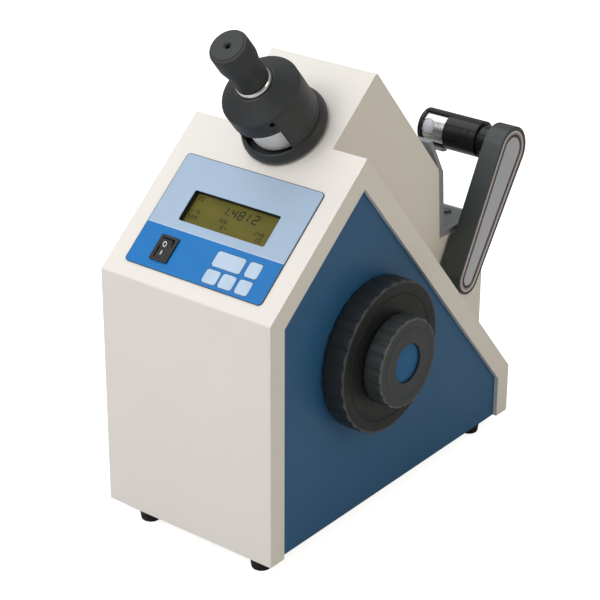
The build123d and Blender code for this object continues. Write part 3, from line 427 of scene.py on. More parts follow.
def wheel_plastic(name, face, rim, r_face, x_edge, edge):
    """Moulded wheel with painted light: rim and face get tones for how light falls on them, and the front rim edge a
    painted highlight.
    """
    q = plastic(name, face, rough=0.48, grain=2000.0, grain_mm=0.010, spec=0.38)
    v_, (kx, ky_, kz_) = q.local(KNOB)
    rr = q.math("SQRT", q.math("ADD", q.math("MULTIPLY", kx, kx), q.math("MULTIPLY", ky_, ky_)))
    k_ = q.range(rr, (r_face - 1.0) / 1000, (r_face + 0.8) / 1000, smooth=True)
    # painted highlight along the front edge of the rim
    edge_highlight = q.math("MULTIPLY", q.range(rr, (r_face - 0.4) / 1000, (r_face + 0.5) / 1000, smooth=True),
                  q.range(kz_, (x_edge - 2.0) / 1000, (x_edge - 0.7) / 1000, smooth=True))
    edge_highlight = q.math("MULTIPLY", edge_highlight, q.range(q.noise(140.0, 3.0), 0.35, 0.6, 0.45, 1.0))
    # painted light and shade: rim and face of the one plastic get different tones
    c_ = q.mix(k_, tint(q, 0.05, 30.0), tint(q, 0.06, 40.0, lin(rim)))
    q.base(q.mix(edge_highlight, c_, lin(edge)))
    return q


# lit and shaded copies of one black plastic: the big wheel's face is painted dark as shade from the fine wheel and its
# rim painted lighter where light falls; the fine wheel's face is painted lighter
MAT["wheel"] = wheel_plastic("wheel_black", (17, 21, 24), (38, 43, 46), 64.8, X_KNOB1, (74, 76, 79))
MAT["wheel2"] = wheel_plastic("wheel_black_fine", (54, 59, 64), (50, 55, 58), 37.6, X_KNOB2, (96, 99, 103))
MAT["shaft"] = turned("shaft_steel", (176, 178, 180), KNOB, rough=0.25, pitch=2000.0, groove_mm=0.005)
MAT["disc"] = turned("disc_blue", (14, 96, 150), KNOB, rough=0.42, spec=0.3, metal=0.15, pitch=2200.0, groove_mm=0.006, amount=0.05)
m = Mat("mirror_silver", (236, 238, 240), 0.04, metal=1.0)
m.base(m.mix(m.range(m.noise(80.0, 3.0), 0.3, 0.7), lin((238, 240, 242)), lin((228, 230, 234))))
m.rough(m.range(m.noise(300.0, 3.0), 0.3, 0.8, 0.02, 0.08))
MAT["mirror"] = m
MAT["arm"] = plastic("arm_black", (56, 62, 63), rough=0.38, grain=2200.0, grain_mm=0.008)
MAT["inlay"] = steel("inlay_grey", (195, 197, 206), rough=0.40, scratch=(1.0, 0.35, 0.05), metal=0.55, depth_mm=0.008, amount=0.03)
MAT["rose"] = steel("inlay_rose", (166, 154, 159), rough=0.36, scratch=(1.0, 0.2, 0.2), metal=0.5, depth_mm=0.004, amount=0.03)
MAT["band"] = steel("inlay_band", (230, 229, 231), rough=0.28, scratch=(1.0, 0.2, 0.2), metal=0.4, depth_mm=0.004, amount=0.03)
MAT["stripe"] = plastic("inlay_stripe", (58, 34, 40), rough=0.4, grain=2600.0, grain_mm=0.006)
m = turned("tube_black", (24, 26, 27), LAMP, rough=0.20, metal=0.0, pitch=1300.0, groove_mm=0.0006, amount=0.06, spec=0.36)
# the lip at the mouth is bare metal
vec, (fx, fy, fh) = m.local(LAMP)
rr_ = m.math("SQRT", m.math("ADD", m.math("MULTIPLY", fx, fx), m.math("MULTIPLY", fy, fy)))
lip = m.range(rr_, 0.01695, 0.01705)
m.base(m.mix(lip, m.mix(m.range(m.noise(60.0), 0.3, 0.7), lin((22, 24, 25)), lin((26, 28, 29))),
             m.mix(m.range(m.noise(80.0), 0.3, 0.7), lin((128, 130, 132)), lin((140, 142, 144)))))
m.link(m.math("MULTIPLY", lip, 0.6), m.b.inputs["Metallic"])
MAT["tube"] = m
MAT["reflector"] = turned("reflector_chrome", (214, 211, 210), LAMP, rough=0.20, pitch=1800.0, groove_mm=0.004, amount=0.05)
MAT["lens"] = glass("lens_glass", (226, 230, 238), rough=0.30, ior=1.5, trans=0.25, frost=0.2)
MAT["bulb"] = glass("bulb_glass", (244, 240, 232), rough=0.05, ior=1.45, trans=0.85)
m = Mat("key_blue", (187, 208, 230), 0.44, spec=0.35)
m.base(m.mix(m.range(m.noise(60.0, 3.0), 0.3, 0.7), lin((182, 204, 227)), lin((192, 212, 233))))
m.rough(m.range(m.noise(180.0, 3.0), 0.3, 0.7, 0.34, 0.48))
m.bump(m.noise(2400.0, 1.0), 0.008 / 1000)
MAT["key"] = m


# ---------------------------------------------------------------- CAD nodes that stay
def use_material(o, mat):
    if not o.material_slots:
        o.data.materials.append(None)
    for s in o.material_slots:
        s.link = "OBJECT"
        s.material = mat.m


def dress(name, mat, bevel=0.0, segs=2, angle=32.0, clamp=True):
    """Finish of a CAD node; bevel is the width of its broken edges in millimetres."""
    o = NODES[name]
    use_material(o, MAT[mat])
    if bevel:
        w = o.modifiers.new("weld", "WELD")
        w.merge_threshold = 1e-6
        d = o.modifiers.new("planar", "DECIMATE")
        d.decimate_type = "DISSOLVE"
        d.angle_limit = math.radians(0.6)
        b = o.modifiers.new("edges", "BEVEL")
        b.width = bevel / 1000
        b.segments = segs
        b.limit_method = "ANGLE"
        b.angle_limit = math.radians(angle)
        b.use_clamp_overlap = clamp
        b.harden_normals = False
        n = o.modifiers.new("normals", "WEIGHTED_NORMAL")
        n.keep_sharp = False
        n.weight = 60
    return o


dress("case_cover", "cover", 0.9, 3)
dress("side_panel_left", "panel", 0.4)
dress("side_panel_right", "panel", 0.4)
dress("base_plate", "zinc", 0.3)
dress("rubber_feet", "rubber", 0.6)
dress("machine_screws", "screw", 0.25)
dress("control_panel", "face", 0.15)
dress("display_window", "window", 0.2)
dress("display_module", "module", 0.15)
dress("switch_housing", "switch", 0.35)
dress("keypad_board", "board", 0.1)
dress("telescope_tube", "tel")
dress("objective_lens", "optic")
dress("crossline_glass", "optic")
dress("optical_frame", "frame", 0.5)
dress("bearing_bushes", "brass", 0.2)
dress("encoder_sensor", "sensor", 0.3)
dress("prism_bracket", "bracket", 0.6)
dress("prism_block", "prism", 0.35)
dress("measuring_prism", "optic", 0.2)
dress("hose_nipples", "brass", 0.2)
dress("lid_hinge_pin", "screw", 0.2)
dress("arm_pivot", "shaft", 0.3)
dress("main_board", "board", 0.2)
dress("power_transformer", "iron", 0.6)
dress("power_inlet", "inlet", 0.4)
dress("coarse_shaft", "shaft")
dress("encoder_disc", "sensor")
dress("fine_shaft", "shaft", 0.2)
dress("sector_gear", "brass")
dress("mirror_axle", "shaft", 0.2)
dress("mirror_holder", "frame", 0.3)
dress("folding_mirror", "mirror", 0.15)
dress("upper_compensator_prism", "optic", 0.2)
dress("compensator_cell", "tel")
dress("lower_compensator_prism", "optic", 0.2)
dress("ocular_cell", "tel")
dress("eye_lens", "optic")
dress("prism_lid", "prism", 0.35)
dress("illuminating_prism", "optic", 0.2)
dress("lamp_arm", "arm", 0.9, 3)
dress("lamp_tube", "tube", 0.35)
dress("lamp_bulb", "bulb")


# ---------------------------------------------------------------- mesh builders
def make(name, verts, faces, body, mat, slot=None, replaces=(), sharp=38.0, weighted=True):
    me = bpy.data.meshes.new(name)
    me.from_pydata([tuple(v) for v in verts], [], faces)
    bm = bmesh.new()
    bm.from_mesh(me)
    bmesh.ops.remove_doubles(bm, verts=bm.verts, dist=1e-7)
    bmesh.ops.recalc_face_normals(bm, faces=bm.faces)
    bm.to_mesh(me)
    bm.free()
    me.shade_smooth()
    me.set_sharp_from_angle(angle=math.radians(sharp))
    o = bpy.data.objects.new(name, me)
    bpy.context.scene.collection.objects.link(o)
    o.data.materials.append(MAT[mat].m)
    if weighted:
        n = o.modifiers.new("normals", "WEIGHTED_NORMAL")
        n.keep_sharp = True
        n.weight = 60
    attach(o, body)
    if replaces:
        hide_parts(*replaces)
    return o


def rounded(pts, rad=0.3, closed=True, step=15.0):
    """Closed line of points (a, b) or (a, b, radius) with its corners rounded."""
    n = len(pts)
    out = []
    for i in range(n):
        p = Vector(pts[i][:2])
        r = pts[i][2] if len(pts[i]) > 2 else rad
        a, b = Vector(pts[i - 1][:2]), Vector(pts[(i + 1) % n][:2])
        la, lb = (a - p).length, (b - p).length
        if r <= 0 or la < 1e-6 or lb < 1e-6 or abs(p.x) < 1e-6:
            out.append((p.x, p.y))
            continue
        u, v = (a - p) / la, (b - p) / lb
        phi = math.acos(max(-1, min(1, u.dot(v))))
        turn = math.pi - phi
        if turn < math.radians(6) or phi < math.radians(4):
            out.append((p.x, p.y))
            continue
        t = min(r / math.tan(phi / 2), 0.46 * la, 0.46 * lb)
        r = t * math.tan(phi / 2)
        c = p + (u + v).normalized() * (r / math.sin(phi / 2))
        s, e = p + u * t, p + v * t
        a0 = math.atan2(s.y - c.y, s.x - c.x)
        a1 = math.atan2(e.y - c.y, e.x - c.x)
        d = (a1 - a0 + math.pi) % (2 * math.pi) - math.pi
        k = max(2, int(abs(math.degrees(d)) / step) + 1)
        for j in range(k + 1):
            q = a0 + d * j / k
            out.append((c.x + r * math.cos(q), c.y + r * math.sin(q)))
    return out


def smooth_line(pts, sub=4):
    """Points of a Catmull-Rom line through the open list pts."""
    out = []
    n = len(pts)
    for i in range(n - 1):
        p0, p1, p2, p3 = (Vector(pts[max(0, i - 1)]), Vector(pts[i]), Vector(pts[i + 1]), Vector(pts[min(n - 1, i + 2)]))
        for j in range(sub):
            t = j / sub
            q = 0.5 * ((2 * p1) + (p2 - p0) * t + (2 * p0 - 5 * p1 + 4 * p2 - p3) * t * t + (3 * p1 - p0 - 3 * p2 + p3) * t ** 3)
            out.append((q.x, q.y, 0))
    out.append((*pts[-1][:2], 0))
    return out


def lathe_data(profile, fr, segs=96, rfun=None):
    verts, faces, rings = [], [], []
    for r, h in profile:
        if r < 1e-6:
            rings.append([len(verts)])
            verts.append(fr(0, 0, h))
        else:
            ring = []
            for k in range(segs):
                a = 2 * math.pi * k / segs
                q = rfun(r, h, a) if rfun else r
                ring.append(len(verts))
                verts.append(fr(q * math.cos(a), q * math.sin(a), h))
            rings.append(ring)
    n = len(profile)
    for i in range(n):
        a, b = rings[i], rings[(i + 1) % n]
        if len(a) == 1 and len(b) == 1:
            continue
        for k in range(segs):
            j = (k + 1) % segs
            if len(a) == 1:
                faces.append((a[0], b[k], b[j]))
            elif len(b) == 1:
                faces.append((a[k], a[j], b[0]))
            else:
                faces.append((a[k], a[j], b[j], b[k]))
    return verts, faces


def lathe(name, profile, fr, body, mat, slot=None, replaces=(), rad=0.3, segs=96, rfun=None, sharp=38.0):
    v, f = lathe_data(rounded(profile, rad), fr, segs, rfun)
    return make(name, v, f, body, mat, slot, replaces, sharp)


def outline_normals(pts):
    """Outward unit normals of a closed counter-clockwise line."""
    n = len(pts)
    out = []
    for i in range(n):
        a, b = Vector(pts[i - 1]), Vector(pts[(i + 1) % n])
        d = (b - a).normalized()
        out.append(Vector((d.y, -d.x)))
    return out


def capsule_line(ra, rb, length, n=40):
    k = (rb - ra) / length
    a0 = -math.asin(k)
    pts, nor = [], []
    for c, r, s, e in ((length, rb, a0, math.pi - a0), (0.0, ra, math.pi - a0, 2 * math.pi + a0)):
        for i in range(n + 1):
            t = s + (e - s) * i / n
            pts.append((r * math.cos(t), c + r * math.sin(t)))
            nor.append(Vector((math.cos(t), math.sin(t))))
    return pts, nor


def rect_line(x0, x1, y0, y1, r, n=8):
    pts, nor = [], []
    for cx, cy, s in ((x1 - r, y0 + r, -90), (x1 - r, y1 - r, 0), (x0 + r, y1 - r, 90), (x0 + r, y0 + r, 180)):
        for i in range(n + 1):
            t = math.radians(s + 90 * i / n)
            pts.append((cx + r * math.cos(t), cy + r * math.sin(t)))
            nor.append(Vector((math.cos(t), math.sin(t))))
    return pts, nor


def stack(line, rings, fr, caps=True, closed=False):
    """Rings of a line moved inwards by d at height h, for each (d, h); capped, or closed as a loop."""
    pts, nor = line
    n = len(pts)
    verts, faces = [], []
    for d, h in rings:
        for (x, y), q in zip(pts, nor):
            verts.append(fr(x - q.x * d, y - q.y * d, h))
    m = len(rings)
    for i in range(m if closed else m - 1):
        a, b = i * n, ((i + 1) % m) * n
        for k in range(n):
            j = (k + 1) % n
            faces.append((a + k, a + j, b + j, b + k))
    if caps and not closed:
        faces.append(tuple(range(n)))
        faces.append(tuple((m - 1) * n + k for k in range(n)))
    return verts, faces


def quarter(r, n=4):
    """(inset, drop) pairs of a rounded edge, from the wall to the top."""
    return [(r * (1 - math.cos(math.pi / 2 * i / n)), r * (1 - math.sin(math.pi / 2 * i / n))) for i in range(n + 1)]


def cut(o, cutters):
    """Cuts the meshes of cutters, (verts, faces) each, out of o for good."""
    made = []
    for i, (v, f) in enumerate(cutters):
        me = bpy.data.meshes.new(f"cut{i}")
        me.from_pydata([tuple(q) for q in v], [], f)
        bm = bmesh.new()
        bm.from_mesh(me)
        bmesh.ops.recalc_face_normals(bm, faces=bm.faces)
        bm.to_mesh(me)
        bm.free()
        c = bpy.data.objects.new(f"cut{i}", me)
        bpy.context.scene.collection.objects.link(c)
        b = o.modifiers.new(f"cut{i}", "BOOLEAN")
        b.operation = "DIFFERENCE"
        b.solver = "EXACT"
        b.object = c
        made.append(c)
    dg = bpy.context.evaluated_depsgraph_get()
    new = bpy.data.meshes.new_from_object(o.evaluated_get(dg), preserve_all_data_layers=True, depsgraph=dg)
    o.modifiers.clear()
    o.data = new
    for c in made:
        bpy.data.objects.remove(c, do_unlink=True)
    return o


def soften(o, bevel, segs=2, angle=32.0):
    b = o.modifiers.new("edges", "BEVEL")
    b.width = bevel / 1000
    b.segments = segs
    b.limit_method = "ANGLE"
    b.angle_limit = math.radians(angle)
    n = o.modifiers.new("normals", "WEIGHTED_NORMAL")
    n.keep_sharp = False
    n.weight = 60


def join_data(parts):
    verts, faces = [], []
    for v, f in parts:
        k = len(verts)
        verts += list(v)
        faces += [tuple(i + k for i in q) for q in f]
    return verts, faces


# ---------------------------------------------------------------- telescope
nose = [(35.0, 0.0), (36.4, 0.8), (37.6, 2.4), (38.2, 4.6), (38.2, 5.8), (37.7, 8.0), (36.7, 10.2), (35.6, 11.6), (34.6, 12.0)]
lathe("telescope_ring", [(20.0, -36), (24.0, -36), (24.0, -3), (29.7, -3), (29.7, 0, 0)] + smooth_line(nose) +
      [(33.4, 12.0, 0.3), (33.4, 6.0, 0.6), (24.0, 6.0), (24.0, 23.0), (20.0, 23.0)], TEL, "case", "tel", "black_anodised", ["telescope_base"], segs=128)

shroud = lathe("telescope_shroud", [(33.4, H_BASE), (R_COL, H_BASE), (R_COL, H_BAND + 0.4, 2.2), (18.4, 64.9, 1.4), (17.6, 65.3, 0.5), (16.5, 65.3, 0.2),
                                    (15.05, 64.4), (15.05, H_WIN), (33.4, H_WIN)], TEL, "case", "tel", "black_anodised", ["telescope_collar"],
               rad=0.25, segs=144)
wedge = [(0.0, 0.0)] + [(60 * math.sin(math.radians(a)), -60 * math.cos(math.radians(a))) for a in [-40.0 + 90.0 * i / 20 for i in range(21)]]
wn = len(wedge)
wv = [TEL(x, y, H_BASE - 1) for x, y in wedge] + [TEL(x, y, H_WIN) for x, y in wedge]
wf = [tuple(range(wn)), tuple(range(wn, 2 * wn))] + [(i, (i + 1) % wn, wn + (i + 1) % wn, wn + i) for i in range(wn)]
cuts = [(wv, wf)]
for a in (46.0, 166.0, 286.0):
    d = Vector((math.sin(math.radians(a)), -math.cos(math.radians(a)), 0))
    e = Vector((0, 0, 1))
    f = e.cross(d)
    rows = []
    hv, hf = [], []
    for q in (28.0, 38.0):
        for k in range(24):
            t = 2 * math.pi * k / 24
            p = d * q + e * (48.4 + 2.4 * math.cos(t)) + f * (2.4 * math.sin(t))
            hv.append(TEL(p.x, p.y, p.z))
    hf = [tuple(range(24)), tuple(range(24, 48))] + [(k, (k + 1) % 24, 24 + (k + 1) % 24, 24 + k) for k in range(24)]
    cuts.append((hv, hf))
cut(shroud, cuts)
soften(shroud, 0.3)

lathe("compensator_drum", [(24.05, H_GAP), (R_DRUM, H_GAP, 0.5), (R_DRUM, H_WIN - 0.4, 0.5), (26.4, H_WIN - 0.4), (26.4, 27.5), (19.0, 27.5), (19.0, 35.8),
                           (14.4, 35.8), (14.4, 25.0), (12.0, 25.0), (12.0, 23.4), (24.05, 23.4)], TEL, "drum", "drum", "drum_silver", ["dispersion_drum"],
      segs=160)
lathe("eyepiece_ring", [(10.0, 52.0), (12.9, 52.0), (12.9, 65.4), (16.2, 65.4, 0.15), (16.2, 65.75, 0.15), (15.7, 66.0, 0.1), (15.6, 66.5, 0.4), (15.3, 67.6, 0.6),
                        (14.7, 68.5, 0.3), (14.5, 68.7, 0.1), (14.5, 69.8, 0.15), (11.6, 69.8), (11.6, 91.0), (10.0, 91.0)],
      TEL, "case", "chrome", "sleeve_chrome", ["eyepiece_sleeve"], segs=112)
lathe("eyepiece_cup", [(11.65, 70.1), (14.5, 70.1, 0.4), (14.5, 84.0, 14.0), (16.6, 95.0, 7.0), (16.9, 97.0, 4.0), (16.9, 104.0, 6.0), (16.75, 112.6, 0.8),
                       (16.2, 114.0, 0.9), (15.3, 114.65, 0.6), (14.1, 114.7, 0.3), (13.7, 115.6, 0.4), (3.8, 115.6, 0.5), (2.4, 114.6, 0.4),
                       (1.8, 113.4, 0.3), (1.8, 109.5), (9.98, 109.5), (9.98, 91.6), (11.65, 91.6)], TEL, "eyepiece", "eyecup", "eyecup_black",
      ["eyepiece_body"], rad=0.25, segs=112)


# ---------------------------------------------------------------- hand wheels
def flute_radius(big_r, n, fr_, depth, a):
    """Radius of the fluted rim at angle a, with softened ridges."""
    d = big_r + fr_ - depth
    p = 2 * math.pi / n
    q = (a % p) - p / 2
    s = d * math.sin(q)
    if abs(s) >= fr_:
        return big_r
    r = d * math.cos(q) - math.sqrt(fr_ * fr_ - s * s)
    k = 9.0
    m_ = min(r, big_r)
    return m_ - math.log(math.exp(-k * (r - m_)) + math.exp(-k * (big_r - m_))) / k + math.log(1.0) / k


def wheel(name, profile, big_r, n, fr_, depth, face_r, body, mat, slot, node, segs):
    def rfun(r, h, a):
        if r <= face_r:
            return r
        f = flute_radius(big_r, n, fr_, depth, a)
        k = 7.0
        return r - math.log(1.0 + math.exp(k * (r - f))) / k
    return lathe(name, profile, KNOB, body, mat, slot, [node], rad=0.4, segs=segs, rfun=rfun, sharp=50.0)


RB, RF = 67.0, 39.5
wheel("coarse_wheel", [(8.0, X_KNOB0), (20.0, X_KNOB0), (20.0, X_KNOB0 + 13), (60.0, X_KNOB0 + 13), (60.0, X_KNOB0, 0.6), (RB, X_KNOB0, 1.6),
                       (RB, 96.0, 0), (RB, 104.0, 0), (RB, X_KNOB1, 2.0), (64.0, X_KNOB1, 0), (61.0, X_KNOB1, 0), (58.6, X_KNOB1, 0),
                       (56.2, X_KNOB1, 0.5), (55.9, X_KNOB1 - 0.5, 0.4), (55.1, X_KNOB1 - 0.5, 0.4), (54.8, X_KNOB1, 0.5),
                       (6.0, X_KNOB1), (6.0, X_KNOB1 - 4), (8.0, X_KNOB1 - 4)],
      RB, 29, 7.0, 1.3, 58.0, "coarse_drive", "wheel", "wheel_black", "coarse_knob", 638)
X0 = X_KNOB1 + 0.4
wheel("fine_wheel", [(5.0, X0), (12.0, X0), (12.0, X0 + 9.6), (34.0, X0 + 9.6), (34.0, X0, 0.5), (RF, X0, 1.4), (RF, 113.0, 0), (RF, 121.0, 0),
                     (RF, X_KNOB2, 1.7), (36.4, X_KNOB2, 0), (34.6, X_KNOB2, 0), (32.6, X_KNOB2, 0.8), (31.9, X_KNOB2 - 0.35, 0.6), (31.1, X_KNOB2 - 0.35, 0.6),
                     (30.4, X_KNOB2, 0.8), (17.3, X_KNOB2, 0.45), (17.3, X_KNOB2 - 3.6, 0.2), (0.0, X_KNOB2 - 3.6), (0.0, X_KNOB2 - 6),
                     (5.0, X_KNOB2 - 6)],
      RF, 20, 5.0, 1.2, 34.2, "fine_drive", "wheel2", "wheel_black", "fine_knob", 480)
lathe("wheel_disc", [(0.0, 122.4), (17.0, 122.4, 0.2), (17.0, 124.0, 0.35), (8.0, 124.15, 0), (0.0, 124.2)], KNOB, "fine_drive", "disc", "disc_blue",
      ["knob_disc"], segs=112)

# ---------------------------------------------------------------- keys
KEYS = {"key_1": (8.7, 38.2, 32.5, 46.9), "key_2": (42.2, 55.4, 32.7, 46.8), "key_3": (7.9, 22.4, 16.9, 29.7),
        "key_4": (24.6, 38.9, 16.9, 29.9), "key_5": (41.9, 55.2, 16.9, 30.0)}
for i, (nm, (x0, x1, s0, s1)) in enumerate(KEYS.items(), 1):
    line = rect_line(x0, x1, s0, s1, 2.6, 8)
    rings = [(0.0, -0.2), (0.0, 0.9)] + [(d, 1.45 - e) for d, e in quarter(0.55, 5)][1:] + [(1.1, 1.53), (1.8, 1.61), (2.5, 1.66)]
    cap = stack(line, rings, SLOPE)
    fl = stack(rect_line(x0 - 0.8, x1 + 0.8, s0 - 0.8, s1 + 0.8, 0.6, 4), [(0.0, -1.6), (0.0, -0.2)], SLOPE)
    stem = lathe_data([(0.0, -3.0), (1.5, -3.0), (1.5, -1.6), (0.0, -1.6)],
                      Frame(SLOPE.work((x0 + x1) / 2, (s0 + s1) / 2, 0), SLOPE.ex, SLOPE.ey, SLOPE.ez), 24)
    make(f"key_cap_{i}", *join_data([cap, fl, stem]), f"button_{i}", "key", "key_blue", [nm], sharp=40)

# ---------------------------------------------------------------- rocker with its marks
SWX, SWS = (-50.1, -31.5), (21.05, 45.05)
RX = (SWX[0] + 3.2 + 0.35, SWX[1] - 3.2 - 0.35)
ssm = (SWS[0] + SWS[1]) / 2
rl = (SWS[1] - SWS[0]) / 2 - 2.6 - 0.9
ROCK = math.radians(9.0)


def pad_top(s):
    """Height of the paddle's top over its pivot, before it is tilted."""
    return 3.0 + 1.4 * (abs(s) / rl) ** 1.25


def tilt(s, h):
    return (s * math.cos(ROCK) - h * math.sin(ROCK), s * math.sin(ROCK) + h * math.cos(ROCK))


tops = [(rl - 2 * rl * i / 24, pad_top(rl - 2 * rl * i / 24), 0) for i in range(25)]
tops[0] = (*tops[0][:2], 0.5)
tops[-1] = (*tops[-1][:2], 0.5)
prof = rounded([(-rl, -3.2, 0.4), (rl, -3.2, 0.4)] + tops, 0.0, step=20)
prof = [tilt(*p) for p in prof]
ROCKF = Frame(SLOPE.work(0, ssm, -1.0), SLOPE.ey, SLOPE.ez, SLOPE.ex)
pn = outline_normals(prof)
q4 = quarter(0.45, 3)
rings = [(d, RX[0] + e) for d, e in reversed(q4)] + [(d, RX[1] - e) for d, e in q4]
pad = stack((prof, pn), rings, ROCKF)
axle = lathe_data([(0.0, RX[0] - 1.45), (1.5, RX[0] - 1.45), (1.5, RX[1] + 1.45), (0.0, RX[1] + 1.45)], ROCKF, 32)
make("rocker_paddle_black", *join_data([pad, axle]), "rocker_paddle", "switch", "switch_black", ["rocker"], sharp=45)


def on_pad(x, s, lift):
    """Point on the tilted top of the paddle."""
    a, b = tilt(s, pad_top(s) + lift)
    return ROCKF(a, b, x)


def pad_patch(loops):
    """Closed thin bodies on the paddle's top: loops of (x, s) pairs, outer then inner for a ring."""
    verts, faces = [], []
    outer, inner = loops
    n = len(outer)
    for lift in (0.05, -0.15):
        for lp in (outer, inner):
            for x, s in lp:
                verts.append(on_pad(x, s, lift))
    for k in range(n):
        j = (k + 1) % n
        faces.append((k, j, n + j, n + k))                               # top
        faces.append((2 * n + k, 3 * n + k, 3 * n + j, 2 * n + j))       # bottom
        faces.append((k, 2 * n + k, 2 * n + j, j))                       # outer wall
        faces.append((n + k, n + j, 3 * n + j, 3 * n + k))               # inner wall
    return verts, faces


mx = -41.9
nO = 40
ring_o = ([(mx + 2.0 * math.cos(2 * math.pi * k / nO), 4.1 + 2.4 * math.sin(2 * math.pi * k / nO)) for k in range(nO)],
          [(mx + 1.3 * math.cos(2 * math.pi * k / nO), 4.1 + 1.7 * math.sin(2 * math.pi * k / nO)) for k in range(nO)])
bar, steps = [], 10
bv, bf = [], []
for lift in (0.05, -0.15):
    for k in range(steps + 1):
        s = -5.3 + 3.8 * k / steps
        bv += [on_pad(mx - 0.42, s, lift), on_pad(mx + 0.42, s, lift)]
nb = 2 * (steps + 1)
for k in range(steps):
    a = 2 * k
    bf += [(a, a + 1, a + 3, a + 2), (nb + a, nb + a + 2, nb + a + 3, nb + a + 1), (a, a + 2, nb + a + 2, nb + a), (a + 1, nb + a + 1, nb + a + 3, a + 3)]
bf += [(0, nb, nb + 1, 1), (nb - 2, nb - 1, 2 * nb - 1, 2 * nb - 2)]
make("rocker_marks", *join_data([pad_patch(ring_o), (bv, bf)]), "rocker_paddle", "white", sharp=40)

# ---------------------------------------------------------------- figures of the display
SEG = {"0": "abcdef", "1": "bc", "2": "abged", "3": "abgcd", "4": "fgbc", "5": "afgcd", "6": "afgedc", "7": "abc", "8": "abcdefg", "9": "abcdfg"}


def segment(x0, y0, x1, y1, t):
    """Six-sided bar from (x0, y0) to (x1, y1)."""
    d = Vector((x1 - x0, y1 - y0)).normalized()
    n = Vector((-d.y, d.x))
    h = t / 2
    a, b = Vector((x0, y0)), Vector((x1, y1))
    return [a, a + d * h + n * -h, b - d * h + n * -h, b, b - d * h + n * h, a + d * h + n * h]


def figures(text, x, s, w, h, t, pitch, slant=0.09):
    """Bars of the figures of text from x on, standing on s, on the display's face."""
    parts = []
    cx = x
    for ch in text:
        if ch == ".":
            q = [(cx - pitch + w + 0.35 * t, s), (cx - pitch + w + 1.35 * t, s), (cx - pitch + w + 1.35 * t, s + t), (cx - pitch + w + 0.35 * t, s + t)]
            polys = [[Vector(p) for p in q]]
        elif ch == " ":
            cx += pitch
            continue
        else:
            g, m2 = 0.08 * t, h / 2
            bars = {"a": (0, h, w, h), "b": (w, h - g, w, m2 + g), "c": (w, m2 - g, w, g), "d": (0, 0, w, 0), "e": (0, g, 0, m2 - g),
                    "f": (0, m2 + g, 0, h - g), "g": (0, m2, w, m2)}
            polys = []
            mid = w / 2 if ch == "1" else 0.0
            for k in SEG[ch]:
                bx0, by0, bx1, by1 = bars[k]
                polys.append(segment(cx + bx0 - mid, s + by0, cx + bx1 - mid, s + by1, t))
            cx += pitch
        for pl in polys:
            pl = [(p.x + slant * (p.y - s), p.y) for p in pl]
            n = len(pl)
            v = [SLOPE(a, b, -4.93) for a, b in pl] + [SLOPE(a, b, -5.05) for a, b in pl]
            f = [tuple(range(n)), tuple(range(2 * n - 1, n - 1, -1))] + [(i, n + i, n + (i + 1) % n, (i + 1) % n) for i in range(n)]
            parts.append((v, f))
    return parts


bars = figures("1.4812", -12.4, 79.6, 4.6, 7.5, 1.3, 7.6)
for text, x, s in (("20", -42.6, 85.6), ("17.5", -42.6, 73.8), ("589", -42.9, 68.0), ("32.6", -12.6, 72.6), ("64", -7.4, 67.0), ("24.8", 26.6, 71.0),
                   ("20", 30.1, 66.2)):
    bars += figures(text, x, s, 1.9, 3.1, 0.62, 3.3)
make("display_figures", *join_data(bars), "case", "ink", sharp=30, weighted=False)

# ---------------------------------------------------------------- inlay of the arm
B, T, L = 12.8, 18.1, ARM_L
XI = 78.8


def inlay_ring(name, d0, d1, x_top, edge, mat):
    """Ring between the insets d0 and d1 of the inlay's outline."""
    e = min(edge, (d1 - d0) * 0.45)
    prof_ = [(d0, XI), (d0, x_top - e)] + [(d0 + a, x_top - b) for a, b in quarter(e, 3)][1:] + \
            [(d1 - a, x_top - b) for a, b in reversed(quarter(e, 3))][:-1] + [(d1, x_top - e), (d1, XI)]
    v, f = stack(capsule_line(B, T, L, 48), prof_, ARM, closed=True)
    return make(name, v, f, "arm", mat, "inlay_grey", ["arm_inlay"], sharp=45)


inlay_ring("inlay_outer_band", 0.0, 1.2, 79.8, 0.3, "band")
inlay_ring("inlay_rose_band", 1.2, 3.2, 79.6, 0.1, "rose")
inlay_ring("inlay_stripe", 3.2, 5.8, 79.35, 0.1, "stripe")
v, f = stack(capsule_line(B, T, L, 48), [(5.8, XI), (5.8, 79.4), (5.95, 79.55)], ARM)
make("inlay_field", v, f, "arm", "inlay", "inlay_grey", ["arm_inlay"], sharp=45)

# ---------------------------------------------------------------- lamp
silver = lathe("lamp_silver", [(13.2, -12.0), (15.0, -12.0, 0.3), (15.0, 30.0, 0.3), (13.2, 30.0)], LAMP, "lamp", "reflector", "reflector_chrome",
               ["lamp_reflector"], segs=128)
hole = lathe_data([(0.0, 6.0), (7.3, 6.0), (7.3, 20.0), (0.0, 20.0)], LENS, 64)
cut(silver, [hole])
silver.data.set_sharp_from_angle(angle=math.radians(30))
lathe("lamp_lens", [(0.0, 8.0), (7.2, 8.0, 0.3), (7.2, 12.7, 0.5), (6.0, 13.9, 1.5), (4.2, 14.9, 3.0), (2.2, 15.5, 4.0), (0.0, 15.7)], LENS, "lamp", "lens",
      "lens_glass", ["condenser_lens"], segs=72)

